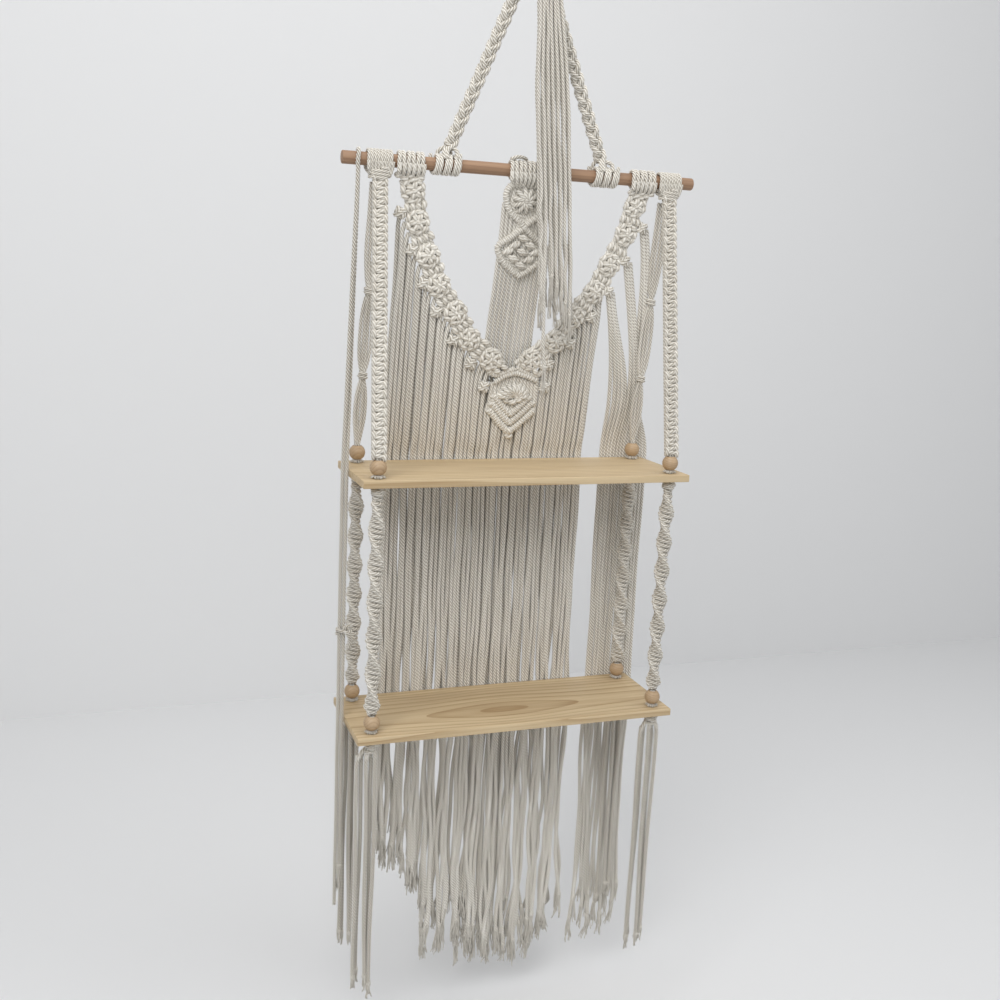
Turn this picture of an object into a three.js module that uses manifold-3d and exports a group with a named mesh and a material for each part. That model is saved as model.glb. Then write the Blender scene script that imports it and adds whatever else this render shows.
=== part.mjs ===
// A two-tier rope shelf that hangs from one loop. Two braids carry a beech rod, four knotted slings
// hang two pine boards from it, and a knotted V with a fringe of loose cords hangs behind the boards.
// Millimetres, +X to the right, +Y to the back, +Z up. The origin is where the loop sits on its hook.
import * as THREE from "three";
import { mergeVertices } from "three/addons/utils/BufferGeometryUtils.js";
import Module from "manifold-3d";

const wasm = await Module();
wasm.setup();

// Cord and the clearance between pieces that touch
const CORD_D = 5;
const GAP = 0.3;

// Hanging loop, and how far the braids' middle lines would meet above the rod
const LOOP_CORD_D = 9;
const LOOP_WIDTH = 28;
const LOOP_LEG_DROP = 24;
const LOOP_LEG_SPREAD = 10.4;
const KNOT_D = 27;
const HANGER_RISE = 260;
const HOOK_TO_BRAID_APEX = 30;
const BRAID_WIDTH = 18;
const BRAID_THICKNESS = 12;
const BRAID_FOOT_WIDTH = 26;

// Rod, and the windings that hold everything to it
const ROD_D = 15;
const ROD_LENGTH = 450;
const ROD_CHAMFER = 1;
const WRAP_SPACE = 0.6;
const SIDE_TURNS = 5.5;
const CENTRE_TURNS = 9.5;
const HITCH_SPACING = 1.1;
const BRAID_HITCH_INSET = 123;
const ARM_HITCH_INSET = 75.5;
const YOKE_HEIGHT = 10;

// Boards
const BOARD_WIDTH = 420;
const BOARD_DEPTH = 140;
const BOARD_THICKNESS = 9;
const BOARD_FORWARD = 11;
const BOARD_DROP = 360;
const FORWARD_SWING_DEG = 10;
const SHELF_SPACING = 313;
const HOLE_INSET_X = 20.5;
const HOLE_INSET_Y = 15.8;

// Beads, the cords that run through them, and the knots that stop the boards
const BEAD_D = 20;
const BEAD_BORE = 9.4;
const BEAD_LIFT = 4.2;
const TUFT_BOTTOM = 2.2;
const TUFT_D = 12;
const STOP_KNOT_D = 16;
const STOP_KNOT_HEIGHT = 12;
const NECK_D = 5.2;
const NECK_LENGTH = 6;

// Slings above the upper board, spirals between the boards
const SENNIT_WIDTH = 22;
const SENNIT_THICKNESS = 12;
const SENNIT_KNOT_PITCH = 12.5;
const SENNIT_WAIST_SHARE = 0.84;
const SLING_WIDTH = 18;
const SLING_THICKNESS = 6;
const SLING_KNOT_D = 13;
const SLING_KNOT_SHARES = [0.4, 0.73];
const SPIRAL_WIDTH = 21;
const SPIRAL_THICKNESS = 10;
const SPIRAL_TURN = 76;

// Tassels under the lower board
const TASSEL_LENGTH = 333;
const TASSEL_HEAD_D = 17;
const TASSEL_HEAD_HEIGHT = 14;
const TASSEL_STRANDS = 5;
const TASSEL_STRAND_D = 4.6;

// Loose cords that hang from the knot in front of the rod
const TAIL_COLUMNS = 7;
const TAIL_TIE_WIDTH = 26;
const TAIL_TIE_THICKNESS = 13;
const TAIL_TIE_HEIGHT = 12;
const TAIL_CORD_D = 4.6;
const TAIL_END_DROP = 188;
const TAIL_LONG_EXTRA = 86;
const TAIL_TOP_X = 6;
const TAIL_ROD_X = 28;
const TAIL_END_X = 41;
const TAIL_COLUMN_PITCH = 6.6;

// Knotted V behind the boards, in the slanting plane from the rod to the boards' back edges
const BIB_X = 5;
const V_DROP = 240;
const ARM_THICKNESS = 9;
const FLOWER_D = 24;
const FLOWER_HEIGHT = 4;
const BERRY_D = 12;
const LEAF_WIDTH = 62;
const LEAF_TOP_DROP = 241;
const LEAF_SHOULDER_DROP = 263;
const LEAF_TIP_DROP = 337;
const LEAF_THICKNESS = 7;
const LEAF_RIB_D = 6;
const LEAF_RIBS = 3;
const DIAMOND_WIDTH = 58;
const DIAMOND_DROP = 126;
const DIAMOND_THICKNESS = 8;
const DIAMOND_WAIST_SHARE = 0.5;
const DIAMOND_CORNER_SHARE = 0.7;
const SLANT_SHARE = 1.6;

// Fringe
const STRAND_PITCH = 6.6;
const HEADER_D = 6;
const FRINGE_SPACE = 0.5;
const LEFT_FRINGE_WIDTH = 142;
const RIGHT_FRINGE_WIDTH = 110;
const PARTING = 8;
const PANEL_STRANDS = 11;
const PANEL_INNER_X = 152;
const PANEL_OUTER_X = 220;
const PANEL_GATHER_X = 194;
const PANEL_GATHER_DROP = 285;
const PANEL_GATHER_SHARE = 0.7;
const PASS_SHARE = 0.75;
const FRINGE_SIDE_DROP = 935;
const FRINGE_MIDDLE_DROP = 1105;
const EVEN_SHARE = 0.45;
const UNEVEN = 5;
const PANEL_DROP = 1085;
const PANEL_UNEVEN = 20;
const OUTER_CORD_DROP = 930;
const OUTER_CORD_SPACE = 1;
const OUTER_CORD_FORWARD = 8;

// Facets
const WRAP_STEPS = 8;
const WRAP_SIDES = 5;
const LOOP_STEPS = 24;
const CORD_SIDES = 4;
const BUNDLE_SIDES = 8;
const ROUND_SIDES = 12;
const SPIRAL_SIDES = 6;
const SPIRAL_STEPS = 30;

// Sizes that follow from the ones above
const CORD_R = CORD_D / 2;
const ROD_R = ROD_D / 2;
const ROD_Z = -(HANGER_RISE + HOOK_TO_BRAID_APEX);
const WRAP_R = (ROD_R + GAP + CORD_R) / Math.cos(Math.PI / WRAP_STEPS);
const WRAP_REACH = WRAP_R + CORD_R;
const WRAP_PITCH = CORD_D + WRAP_SPACE;
const BRAID_SPREAD = ROD_LENGTH / 2 - BRAID_HITCH_INSET;
const ARM_SPREAD = ROD_LENGTH / 2 - ARM_HITCH_INSET;
const SIDE_HITCH_WIDTH = SIDE_TURNS * WRAP_PITCH + CORD_D;
const UPPER_Z = ROD_Z - BOARD_DROP;
const LOWER_Z = UPPER_Z - SHELF_SPACING;
const HOLE_X = BOARD_WIDTH / 2 - HOLE_INSET_X;
const HOLE_FRONT_Y = -BOARD_FORWARD - (BOARD_DEPTH / 2 - HOLE_INSET_Y);
const HOLE_BACK_Y = -BOARD_FORWARD + (BOARD_DEPTH / 2 - HOLE_INSET_Y);
const BEAD_HEIGHT = Math.sqrt(BEAD_D ** 2 - BEAD_BORE ** 2);
const BEAD_TOP = BEAD_LIFT + BEAD_HEIGHT;
const STEM_R = (BEAD_BORE / 2) * Math.cos(Math.PI / ROUND_SIDES) - GAP;
const NECK_R = NECK_D / 2;
const KNOT_BOTTOM = -(BOARD_THICKNESS + GAP + STOP_KNOT_HEIGHT);
const FRINGE_Y = -BOARD_FORWARD + BOARD_DEPTH / 2 + FRINGE_SPACE + CORD_R;
const BIB_TILT = Math.atan(FRINGE_Y / BOARD_DROP);
const YOKE_TOP = -(WRAP_REACH + GAP);
const YOKE_BOTTOM = YOKE_TOP - YOKE_HEIGHT;
const SIDES = { left: -1, right: 1 };
const DEPTHS = { front: HOLE_FRONT_Y, back: HOLE_BACK_Y };

const cotton = new THREE.MeshStandardMaterial({ color: "#d6cfbf", roughness: 0.95, metalness: 0 });
const pine = new THREE.MeshStandardMaterial({ color: "#d8bd90", roughness: 0.6, metalness: 0 });
const beech = new THREE.MeshStandardMaterial({ color: "#b98f6c", roughness: 0.55, metalness: 0 });

const ropeShelf = new THREE.Group();
const bib = new THREE.Group();
bib.position.set(0, 0, ROD_Z);
bib.rotation.x = BIB_TILT;
ropeShelf.add(bib);

function v(x, y, z) {
  return new THREE.Vector3(x, y, z);
}

// Position-only geometry with shared vertices, no slivers, and its faces pointing out
function closed(geometry) {
  const bare = geometry.clone();
  for (const name of Object.keys(bare.attributes)) {
    if (name !== "position") bare.deleteAttribute(name);
  }
  const welded = mergeVertices(bare, 1e-4);
  const place = welded.attributes.position;
  const faces = [];
  let volume = 0;
  for (let i = 0; i < welded.index.count; i += 3) {
    const face = [0, 1, 2].map((k) => welded.index.getX(i + k));
    if (new Set(face).size < face.length) continue;
    const [a, b, c] = face.map((k) => new THREE.Vector3().fromBufferAttribute(place, k));
    volume += a.dot(b.cross(c));
    faces.push(face);
  }
  const outward = volume < 0 ? faces.map(([a, b, c]) => [a, c, b]) : faces;
  const result = new THREE.BufferGeometry();
  result.setAttribute("position", place.clone());
  result.setIndex(outward.flat());
  return result;
}

function toSolid(geometry) {
  const shape = closed(geometry);
  const vertProperties = new Float32Array(shape.attributes.position.array);
  const triVerts = new Uint32Array(shape.index.array);
  return new wasm.Manifold(new wasm.Mesh({ numProp: 3, vertProperties, triVerts }));
}

function toGeometry(solid) {
  const mesh = solid.getMesh();
  const result = new THREE.BufferGeometry();
  result.setAttribute("position", new THREE.BufferAttribute(new Float32Array(mesh.vertProperties), 3));
  result.setIndex(Array.from(mesh.triVerts));
  return result;
}

function fuse(geometries) {
  return toGeometry(geometries.map(toSolid).reduce((whole, next) => whole.add(next)));
}

function add(name, geometry, material, parent = ropeShelf) {
  const shape = closed(geometry);
  shape.computeVertexNormals();
  const mesh = new THREE.Mesh(shape, material);
  mesh.name = name;
  parent.add(mesh);
  return mesh;
}

// Straight runs from point to point, so that a cord bends just where its points are
class Route extends THREE.Curve {
  constructor(points) {
    super();
    this.points = points;
  }

  getPoint(share) {
    const runs = this.points.length - 1;
    const run = Math.min(Math.floor(share * runs), runs - 1);
    return this.points[run].clone().lerp(this.points[run + 1], share * runs - run);
  }

  getUtoTmapping(share) {
    return share;
  }
}

function polygon(width, thickness, corners, turn = 0) {
  const points = [];
  for (let k = 0; k < corners; k += 1) {
    const angle = (2 * Math.PI * (k + turn)) / corners;
    points.push(new THREE.Vector2((Math.cos(angle) * width) / 2, (Math.sin(angle) * thickness) / 2));
  }
  return new THREE.Shape(points);
}

function cord(points, diameter, sides = CORD_SIDES) {
  const section = polygon(diameter, diameter, sides);
  return new THREE.ExtrudeGeometry(section, { steps: points.length - 1, extrudePath: new Route(points) });
}

// A turned shape about the Z axis, from [radius, height] pairs
function turned(profile, sides = BUNDLE_SIDES) {
  const points = profile.map(([radius, height]) => new THREE.Vector2(radius, height));
  return new THREE.LatheGeometry(points, sides).rotateX(Math.PI / 2);
}

// A shape that stands on height 0, leaned from its bottom point towards its top point
function straight(shape, top, bottom) {
  const upright = new THREE.Quaternion();
  upright.setFromUnitVectors(v(0, 0, 1), top.clone().sub(bottom).normalize());
  return shape.applyQuaternion(upright).translate(bottom.x, bottom.y, bottom.z);
}

// A side profile of [depth, height] points, drawn out along X about its middle
function prism(profile, width) {
  const outline = new THREE.Shape(profile.map(([y, z]) => new THREE.Vector2(y, z)));
  const block = new THREE.ExtrudeGeometry(outline, { depth: width, bevelEnabled: false });
  block.translate(0, 0, -width / 2);
  const turn = new THREE.Matrix4().makeBasis(v(0, 1, 0), v(0, 0, 1), v(1, 0, 0));
  return block.applyMatrix4(turn);
}

// A flat outline of [x, drop] points in the plane of the V, with its thickness along Y
function plate(outline, thickness) {
  const shape = new THREE.Shape(outline.map(([x, drop]) => new THREE.Vector2(x, -drop)));
  const slab = new THREE.ExtrudeGeometry(shape, { depth: thickness, bevelEnabled: false });
  return slab.translate(0, 0, -thickness / 2).rotateX(Math.PI / 2);
}

function between(start, end, share) {
  return start + (end - start) * share;
}

// Windings on the rod: one cord that comes up in front, turns round the rod and goes down behind
function winding(turns) {
  const half = (turns * WRAP_PITCH) / 2;
  const points = [v(-half, -WRAP_R, -WRAP_REACH)];
  for (let i = 0; i <= turns * WRAP_STEPS; i += 1) {
    const angle = (2 * Math.PI * i) / WRAP_STEPS;
    const x = -half + (WRAP_PITCH * i) / WRAP_STEPS;
    points.push(v(x, -WRAP_R * Math.cos(angle), WRAP_R * Math.sin(angle)));
  }
  points.push(v(half, WRAP_R, -WRAP_REACH));
  return points;
}

function leastGap(points) {
  let least = Infinity;
  for (let i = 0; i < points.length; i += 1) {
    for (let k = i + WRAP_STEPS / 2; k < points.length; k += 1) {
      least = Math.min(least, points[i].distanceTo(points[k]) - CORD_D);
    }
  }
  return least;
}

function hitch(name, x, turns, tilt = 0) {
  const points = winding(turns);
  console.log(`${name}: least gap between turns ${leastGap(points).toFixed(2)} mm`);
  const mesh = add(name, cord(points, CORD_D, WRAP_SIDES), cotton);
  mesh.position.set(x, 0, ROD_Z);
  mesh.rotation.x = tilt;
}

// The gathered cords just under a winding
function yoke(bottomDepth, width = SIDE_HITCH_WIDTH) {
  const half = bottomDepth / 2;
  const profile = [
    [-WRAP_REACH, YOKE_TOP],
    [WRAP_REACH, YOKE_TOP],
    [half, YOKE_BOTTOM],
    [-half, YOKE_BOTTOM],
  ];
  return prism(profile, width);
}

const armHitchX = (side) => BIB_X + side * ARM_SPREAD;
const frontHitchX = (side) => armHitchX(side) + side * (SIDE_HITCH_WIDTH + HITCH_SPACING);

// Hanging loop, knot and braids
const flat = Math.cos(Math.PI / BUNDLE_SIDES);
const braidHalf = (BRAID_WIDTH / 2) * flat;
const braidSlope = Math.atan(BRAID_SPREAD / HANGER_RISE);
const braidTopX = braidHalf * Math.cos(braidSlope) + GAP;
const braidTopZ = -HOOK_TO_BRAID_APEX - braidTopX / Math.tan(braidSlope);
const braidCornerX = braidTopX + braidHalf * Math.cos(braidSlope);
const braidCornerZ = braidTopZ + braidHalf * Math.sin(braidSlope);
const knotBottomR = Math.hypot(braidCornerX, braidCornerZ) - GAP;
const knotTopR = Math.hypot(LOOP_LEG_SPREAD / 2 + LOOP_CORD_D / 2, LOOP_LEG_DROP) + 2 * GAP;

function hangLoop() {
  const legX = LOOP_LEG_SPREAD / 2;
  const wideX = (LOOP_WIDTH - LOOP_CORD_D) / 2;
  const topZ = (LOOP_CORD_D / 2) * flat;
  const path = new THREE.CatmullRomCurve3([
    v(-legX, 0, -LOOP_LEG_DROP),
    v(-legX, 0, -LOOP_LEG_DROP * 0.86),
    v(-wideX, 0, -LOOP_LEG_DROP * 0.42),
    v(-wideX * 0.74, 0, topZ * 0.2),
    v(0, 0, topZ),
    v(wideX * 0.74, 0, topZ * 0.2),
    v(wideX, 0, -LOOP_LEG_DROP * 0.42),
    v(legX, 0, -LOOP_LEG_DROP * 0.86),
    v(legX, 0, -LOOP_LEG_DROP),
  ]);
  const section = polygon(LOOP_CORD_D, LOOP_CORD_D, BUNDLE_SIDES, 1 / 2);
  add("hang_loop", new THREE.ExtrudeGeometry(section, { steps: LOOP_STEPS, extrudePath: path }), cotton);
}

function topKnot() {
  const neck = (KNOT_D / 2) * 0.8;
  const sphereZ = (radius, r) => -Math.sqrt(radius ** 2 - r ** 2);
  const middle = (sphereZ(knotTopR, neck) + sphereZ(knotBottomR, neck)) / 2;
  const profile = [
    [0, -knotBottomR],
    [neck / 2, sphereZ(knotBottomR, neck / 2)],
    [neck, sphereZ(knotBottomR, neck)],
    [KNOT_D / 2, middle],
    [neck, sphereZ(knotTopR, neck)],
    [neck / 2, sphereZ(knotTopR, neck / 2)],
    [0, -knotTopR],
  ];
  add("top_knot", turned(profile, ROUND_SIDES), cotton);
}

// Braid with its cords spread at the foot, where they go round the rod
function braid(name, side) {
  const bottomZ = ROD_Z - YOKE_TOP + YOKE_HEIGHT / 2;
  const bottomX = braidTopX + (braidTopZ - bottomZ) * Math.tan(braidSlope);
  const top = v(side * braidTopX, 0, braidTopZ);
  const bottom = v(side * bottomX, 0, bottomZ);
  const section = polygon(BRAID_WIDTH, BRAID_THICKNESS, BUNDLE_SIDES, 1 / 2);
  const length = top.distanceTo(bottom);
  const shape = new THREE.ExtrudeGeometry(section, { depth: length, bevelEnabled: false });
  const foot = yoke(BRAID_THICKNESS, BRAID_FOOT_WIDTH).rotateX(Math.PI);
  foot.translate(side * BRAID_SPREAD, 0, ROD_Z);
  add(name, fuse([straight(shape, top, bottom), foot]), cotton);
}

// Loose cords tied in front of the knot, in two layers that pass in front of the rod's windings
function tailCords() {
  const swing = THREE.MathUtils.degToRad(FORWARD_SWING_DEG);
  const clear = WRAP_REACH * Math.cos(swing) - YOKE_TOP * Math.sin(swing) + GAP;
  const backY = -(clear + TAIL_CORD_D / 2);
  const frontY = backY - TAIL_CORD_D - GAP;
  const tieY = -(KNOT_D / 2 + GAP + (TAIL_TIE_THICKNESS / 2) * flat);
  const tieTop = -knotTopR;
  const tieBottom = tieTop - TAIL_TIE_HEIGHT;
  const tie = new THREE.ExtrudeGeometry(polygon(TAIL_TIE_WIDTH, TAIL_TIE_THICKNESS, BUNDLE_SIDES, 1 / 2), {
    depth: TAIL_TIE_HEIGHT,
    bevelEnabled: false,
  });
  const shapes = [tie.translate(TAIL_TOP_X, tieY, tieBottom)];
  const middle = (TAIL_COLUMNS - 1) / 2;
  for (let column = 0; column < TAIL_COLUMNS; column += 1) {
    const fan = column - middle;
    for (const [layer, y] of [backY, frontY].entries()) {
      const longer = column === 1 && layer === 1 ? TAIL_LONG_EXTRA : 0;
      const uneven = ((column * 5 + layer * 3) % 7) * CORD_D - longer;
      const start = tieY + (layer === 0 ? 1 : -1) * (TAIL_TIE_THICKNESS / 4);
      const pitchAtTie = (TAIL_TIE_WIDTH - TAIL_CORD_D - CORD_D) / (TAIL_COLUMNS - 1);
      shapes.push(
        cord(
          [
            v(TAIL_TOP_X + fan * pitchAtTie, start, tieBottom + TAIL_TIE_HEIGHT / 3),
            v(
              between(TAIL_TOP_X, TAIL_ROD_X, 0.3) + fan * TAIL_COLUMN_PITCH,
              y,
              between(tieBottom, ROD_Z, 0.3),
            ),
            v(TAIL_ROD_X + fan * TAIL_COLUMN_PITCH, y, ROD_Z),
            v(TAIL_END_X + fan * TAIL_COLUMN_PITCH, y, ROD_Z - TAIL_END_DROP + uneven),
          ],
          TAIL_CORD_D,
        ),
      );
    }
  }
  add("tail_cords", fuse(shapes), cotton);
}

hangLoop();
topKnot();
tailCords();
for (const [label, side] of Object.entries(SIDES)) {
  braid(`${label}_braid`, side);
  hitch(`${label}_braid_hitch`, side * BRAID_SPREAD, SIDE_TURNS, Math.PI);
  hitch(`${label}_arm_hitch`, armHitchX(side), SIDE_TURNS);
  hitch(`${label}_sling_hitch`, frontHitchX(side), SIDE_TURNS);
}
hitch("centre_hitch", BIB_X, CENTRE_TURNS);

// Rod
const rodProfile = [
  [0, -ROD_LENGTH / 2],
  [ROD_R - ROD_CHAMFER, -ROD_LENGTH / 2],
  [ROD_R, -ROD_LENGTH / 2 + ROD_CHAMFER],
  [ROD_R, ROD_LENGTH / 2 - ROD_CHAMFER],
  [ROD_R - ROD_CHAMFER, ROD_LENGTH / 2],
  [0, ROD_LENGTH / 2],
];
const rod = add("dowel_rod", turned(rodProfile, 2 * ROUND_SIDES), beech);
rod.position.set(0, 0, ROD_Z);
rod.rotation.y = Math.PI / 2;

// Boards with a hole near each corner, and the beads over the holes
function board(name, topZ) {
  const halfWidth = BOARD_WIDTH / 2;
  const front = -BOARD_FORWARD - BOARD_DEPTH / 2;
  const back = -BOARD_FORWARD + BOARD_DEPTH / 2;
  const corners = [
    [-halfWidth, front],
    [halfWidth, front],
    [halfWidth, back],
    [-halfWidth, back],
  ];
  const outline = new THREE.Shape(corners.map(([x, y]) => new THREE.Vector2(x, y)));
  for (const side of Object.values(SIDES)) {
    for (const y of Object.values(DEPTHS)) {
      const rim = [];
      for (let k = 0; k < ROUND_SIDES; k += 1) {
        const angle = (-2 * Math.PI * k) / ROUND_SIDES;
        const x = side * HOLE_X + (Math.cos(angle) * BEAD_BORE) / 2;
        rim.push(new THREE.Vector2(x, y + (Math.sin(angle) * BEAD_BORE) / 2));
      }
      outline.holes.push(new THREE.Path(rim));
    }
  }
  const slab = new THREE.ExtrudeGeometry(outline, { depth: BOARD_THICKNESS, bevelEnabled: false });
  add(name, slab, pine).position.set(0, 0, topZ - BOARD_THICKNESS);
}

function bead(name, x, y, boardTop) {
  const steps = 5;
  const start = Math.asin(BEAD_HEIGHT / BEAD_D);
  const profile = [];
  for (let i = 0; i <= steps; i += 1) {
    const angle = between(-start, start, i / steps);
    profile.push([(Math.cos(angle) * BEAD_D) / 2, (Math.sin(angle) * BEAD_D) / 2]);
  }
  profile.push(profile[0]);
  add(name, turned(profile, ROUND_SIDES), beech).position.set(x, y, boardTop + BEAD_LIFT + BEAD_HEIGHT / 2);
}

// Cords through a bead and its board, tufted just under the bead and knotted under the board; height 0
// is the board's top
function stem(top) {
  const stopTop = -BOARD_THICKNESS - GAP;
  const profile = [
    [0, KNOT_BOTTOM],
    [STOP_KNOT_D * 0.28, KNOT_BOTTOM],
    [STOP_KNOT_D / 2, between(stopTop, KNOT_BOTTOM, 0.6)],
    [STOP_KNOT_D / 2, between(stopTop, KNOT_BOTTOM, 0.25)],
    [STOP_KNOT_D * 0.36, stopTop],
    [STEM_R, stopTop],
    [STEM_R, TUFT_BOTTOM],
    [TUFT_D / 2, between(TUFT_BOTTOM, BEAD_LIFT - GAP, 0.5)],
    [STEM_R, BEAD_LIFT - GAP],
    [STEM_R, top],
    [0, top],
  ];
  return turned(profile);
}

// Front sling: a flat column of square knots under its yoke, and the cords below it
function frontSling(name, side) {
  const top = v(frontHitchX(side), -SENNIT_THICKNESS / 2 + GAP, ROD_Z + YOKE_BOTTOM + YOKE_HEIGHT / 3);
  const bottom = v(side * HOLE_X, HOLE_FRONT_Y, UPPER_Z + BEAD_TOP + 2 * GAP);
  const length = top.distanceTo(bottom);
  const knots = Math.round(length / SENNIT_KNOT_PITCH);
  const pitch = length / knots;
  const profile = [[0, 0], [STEM_R, 0]];
  for (let k = 0; k < knots; k += 1) {
    profile.push([SENNIT_WIDTH / 2, (k + 1 / 2) * pitch]);
    profile.push([(SENNIT_WIDTH / 2) * SENNIT_WAIST_SHARE, (k + 1) * pitch]);
  }
  profile.push([0, length]);
  const column = turned(profile).scale(1, SENNIT_THICKNESS / SENNIT_WIDTH, 1);
  const head = yoke(2 * SENNIT_THICKNESS).translate(frontHitchX(side), 0, ROD_Z);
  const cords = stem(BEAD_TOP + NECK_LENGTH).translate(bottom.x, bottom.y, UPPER_Z);
  add(name, fuse([straight(column, top, bottom), head, cords]), cotton);
}

// Back sling: a flat band of plain cords with two tied knots
function backSling(name, side) {
  const top = v(frontHitchX(side), SENNIT_THICKNESS / 2, ROD_Z + YOKE_BOTTOM - 3 * GAP);
  const bottom = v(side * HOLE_X, HOLE_BACK_Y, UPPER_Z + BEAD_TOP + 2 * GAP);
  const length = top.distanceTo(bottom);
  const section = polygon(SLING_WIDTH, SLING_THICKNESS, BUNDLE_SIDES, 1 / 2);
  const taper = NECK_LENGTH;
  const band = new THREE.ExtrudeGeometry(section, { depth: length - taper, bevelEnabled: false });
  const point = turned([[0, 0], [STEM_R, 0], [SLING_WIDTH / 2, taper], [0, 2 * taper]]);
  point.scale(1, SLING_THICKNESS / SLING_WIDTH, 1);
  const shapes = [straight(band.translate(0, 0, taper), top, bottom), straight(point, top, bottom)];
  for (const share of SLING_KNOT_SHARES) {
    const knot = new THREE.SphereGeometry(SLING_KNOT_D / 2, 8, 4);
    const place = top.clone().lerp(bottom, share);
    shapes.push(knot.translate(place.x, place.y, place.z));
  }
  shapes.push(stem(BEAD_TOP + NECK_LENGTH).translate(bottom.x, bottom.y, UPPER_Z));
  add(name, fuse(shapes), cotton);
}

// Cord tip that turns in its knot: a half ball about height 0, drawn down or up to the given length
function neck(length) {
  const up = Math.sign(length);
  const profile = [
    [0, -up * NECK_R],
    [NECK_R * 0.7, -up * NECK_R * 0.7],
    [NECK_R, 0],
    [NECK_R, length],
    [0, length],
  ];
  return turned(profile);
}

const spiralTop = UPPER_Z + KNOT_BOTTOM - GAP - NECK_R;
const spiralBottom = LOWER_Z + BEAD_TOP + GAP + NECK_R;

// Left-handed spiral of half knots between the boards, pivoting on its cord tips
function spiral(name, side, y) {
  const length = spiralTop - spiralBottom - 2 * NECK_LENGTH;
  const section = polygon(SPIRAL_WIDTH, SPIRAL_THICKNESS, SPIRAL_SIDES, 1 / 2);
  const band = new THREE.ExtrudeGeometry(section, {
    depth: length,
    steps: SPIRAL_STEPS,
    bevelEnabled: false,
  });
  const place = band.attributes.position;
  for (let i = 0; i < place.count; i += 1) {
    const z = place.getZ(i);
    const angle = (2 * Math.PI * z) / SPIRAL_TURN;
    const nearEnd = Math.min(z, length - z, SPIRAL_THICKNESS) / SPIRAL_THICKNESS;
    const size = between(2 * NECK_R / SPIRAL_THICKNESS, 1, nearEnd);
    const x = place.getX(i) * size;
    const depth = place.getY(i) * size;
    place.setX(i, x * Math.cos(angle) - depth * Math.sin(angle));
    place.setY(i, x * Math.sin(angle) + depth * Math.cos(angle));
  }
  const x = side * HOLE_X;
  const shapes = [
    band.scale(-1, 1, 1).translate(x, y, spiralBottom + NECK_LENGTH),
    neck(NECK_LENGTH + NECK_R).translate(x, y, spiralBottom),
    neck(-NECK_LENGTH - NECK_R).translate(x, y, spiralTop),
  ];
  add(name, fuse(shapes), cotton);
}

// Tassel under the lower board: a tied head and its loose strands
function tassel(name, side, y) {
  const topZ = LOWER_Z + KNOT_BOTTOM - GAP - NECK_R;
  const headBottom = -NECK_LENGTH - TASSEL_HEAD_HEIGHT;
  const head = turned(
    [
      [0, headBottom],
      [TASSEL_HEAD_D / 2, headBottom],
      [NECK_R, -NECK_LENGTH],
      [NECK_R, 0],
      [NECK_R * 0.7, NECK_R * 0.7],
      [0, NECK_R],
    ],
  );
  const shapes = [head];
  for (let k = 0; k < TASSEL_STRANDS; k += 1) {
    const angle = (2 * Math.PI * (k + 1 / 2)) / TASSEL_STRANDS;
    const start = TASSEL_HEAD_D / 2 - TASSEL_STRAND_D / 2 - GAP;
    const spread = TASSEL_HEAD_D / 2;
    const end = -TASSEL_LENGTH + ((k * 3) % TASSEL_STRANDS) * CORD_D;
    shapes.push(
      cord(
        [
          v(Math.cos(angle) * start, Math.sin(angle) * start, headBottom + TASSEL_STRAND_D),
          v(Math.cos(angle) * spread, Math.sin(angle) * spread * 0.8, headBottom - TASSEL_HEAD_HEIGHT),
          v(Math.cos(angle) * spread, Math.sin(angle) * spread * 0.8, end),
        ],
        TASSEL_STRAND_D,
      ),
    );
  }
  const whole = fuse(shapes).translate(side * HOLE_X, y, topZ);
  add(name, whole, cotton);
}

board("upper_board", UPPER_Z);
board("lower_board", LOWER_Z);
for (const [label, side] of Object.entries(SIDES)) {
  frontSling(`front_${label}_sling`, side);
  backSling(`back_${label}_sling`, side);
  for (const [depth, y] of Object.entries(DEPTHS)) {
    bead(`upper_${depth}_${label}_bead`, side * HOLE_X, y, UPPER_Z);
    bead(`lower_${depth}_${label}_bead`, side * HOLE_X, y, LOWER_Z);
    spiral(`${depth}_${label}_spiral`, side, y);
    const foot = stem(BEAD_TOP).translate(side * HOLE_X, y, LOWER_Z);
    add(`${depth}_${label}_stop_knot`, foot, cotton);
    tassel(`${depth}_${label}_tassel`, side, y);
  }
}

// Knotted V. Its outlines are shares of the arms' spread and of the V's drop, from the rod down
const ARM_INNER_SHARES = [
  [0.87, 0.1],
  [0.785, 0.286],
  [0.68, 0.436],
  [0.565, 0.584],
  [0.44, 0.73],
  [0.29, 0.81],
  [0.09, 0.93],
];
const ARM_OUTER_SHARES = [
  [1.1, 0.15],
  [1.06, 0.27],
  [0.93, 0.45],
  [0.8, 0.63],
  [0.65, 0.77],
  [0.48, 0.9],
  [0.31, 1.04],
];
const FLOWER_SHARES = [
  [0.965, 0.19],
  [0.91, 0.3],
  [0.8, 0.44],
  [0.69, 0.585],
  [0.55, 0.72],
  [0.39, 0.86],
  [0.185, 0.955],
];
const BERRY_SHARES = [
  [1.09, 0.235],
  [0.95, 0.41],
  [0.83, 0.575],
  [0.7, 0.715],
  [0.54, 0.86],
  [0.36, 0.985],
];

const armPoint = ([x, drop]) => [x * ARM_SPREAD, drop * V_DROP];
const leafHalf = LEAF_WIDTH / 2;
const leafLowerEdge = [
  [leafHalf, LEAF_SHOULDER_DROP],
  [leafHalf * 0.92, between(LEAF_SHOULDER_DROP, LEAF_TIP_DROP, 0.35)],
  [leafHalf * 0.5, between(LEAF_SHOULDER_DROP, LEAF_TIP_DROP, 0.72)],
  [0, LEAF_TIP_DROP],
];

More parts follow.
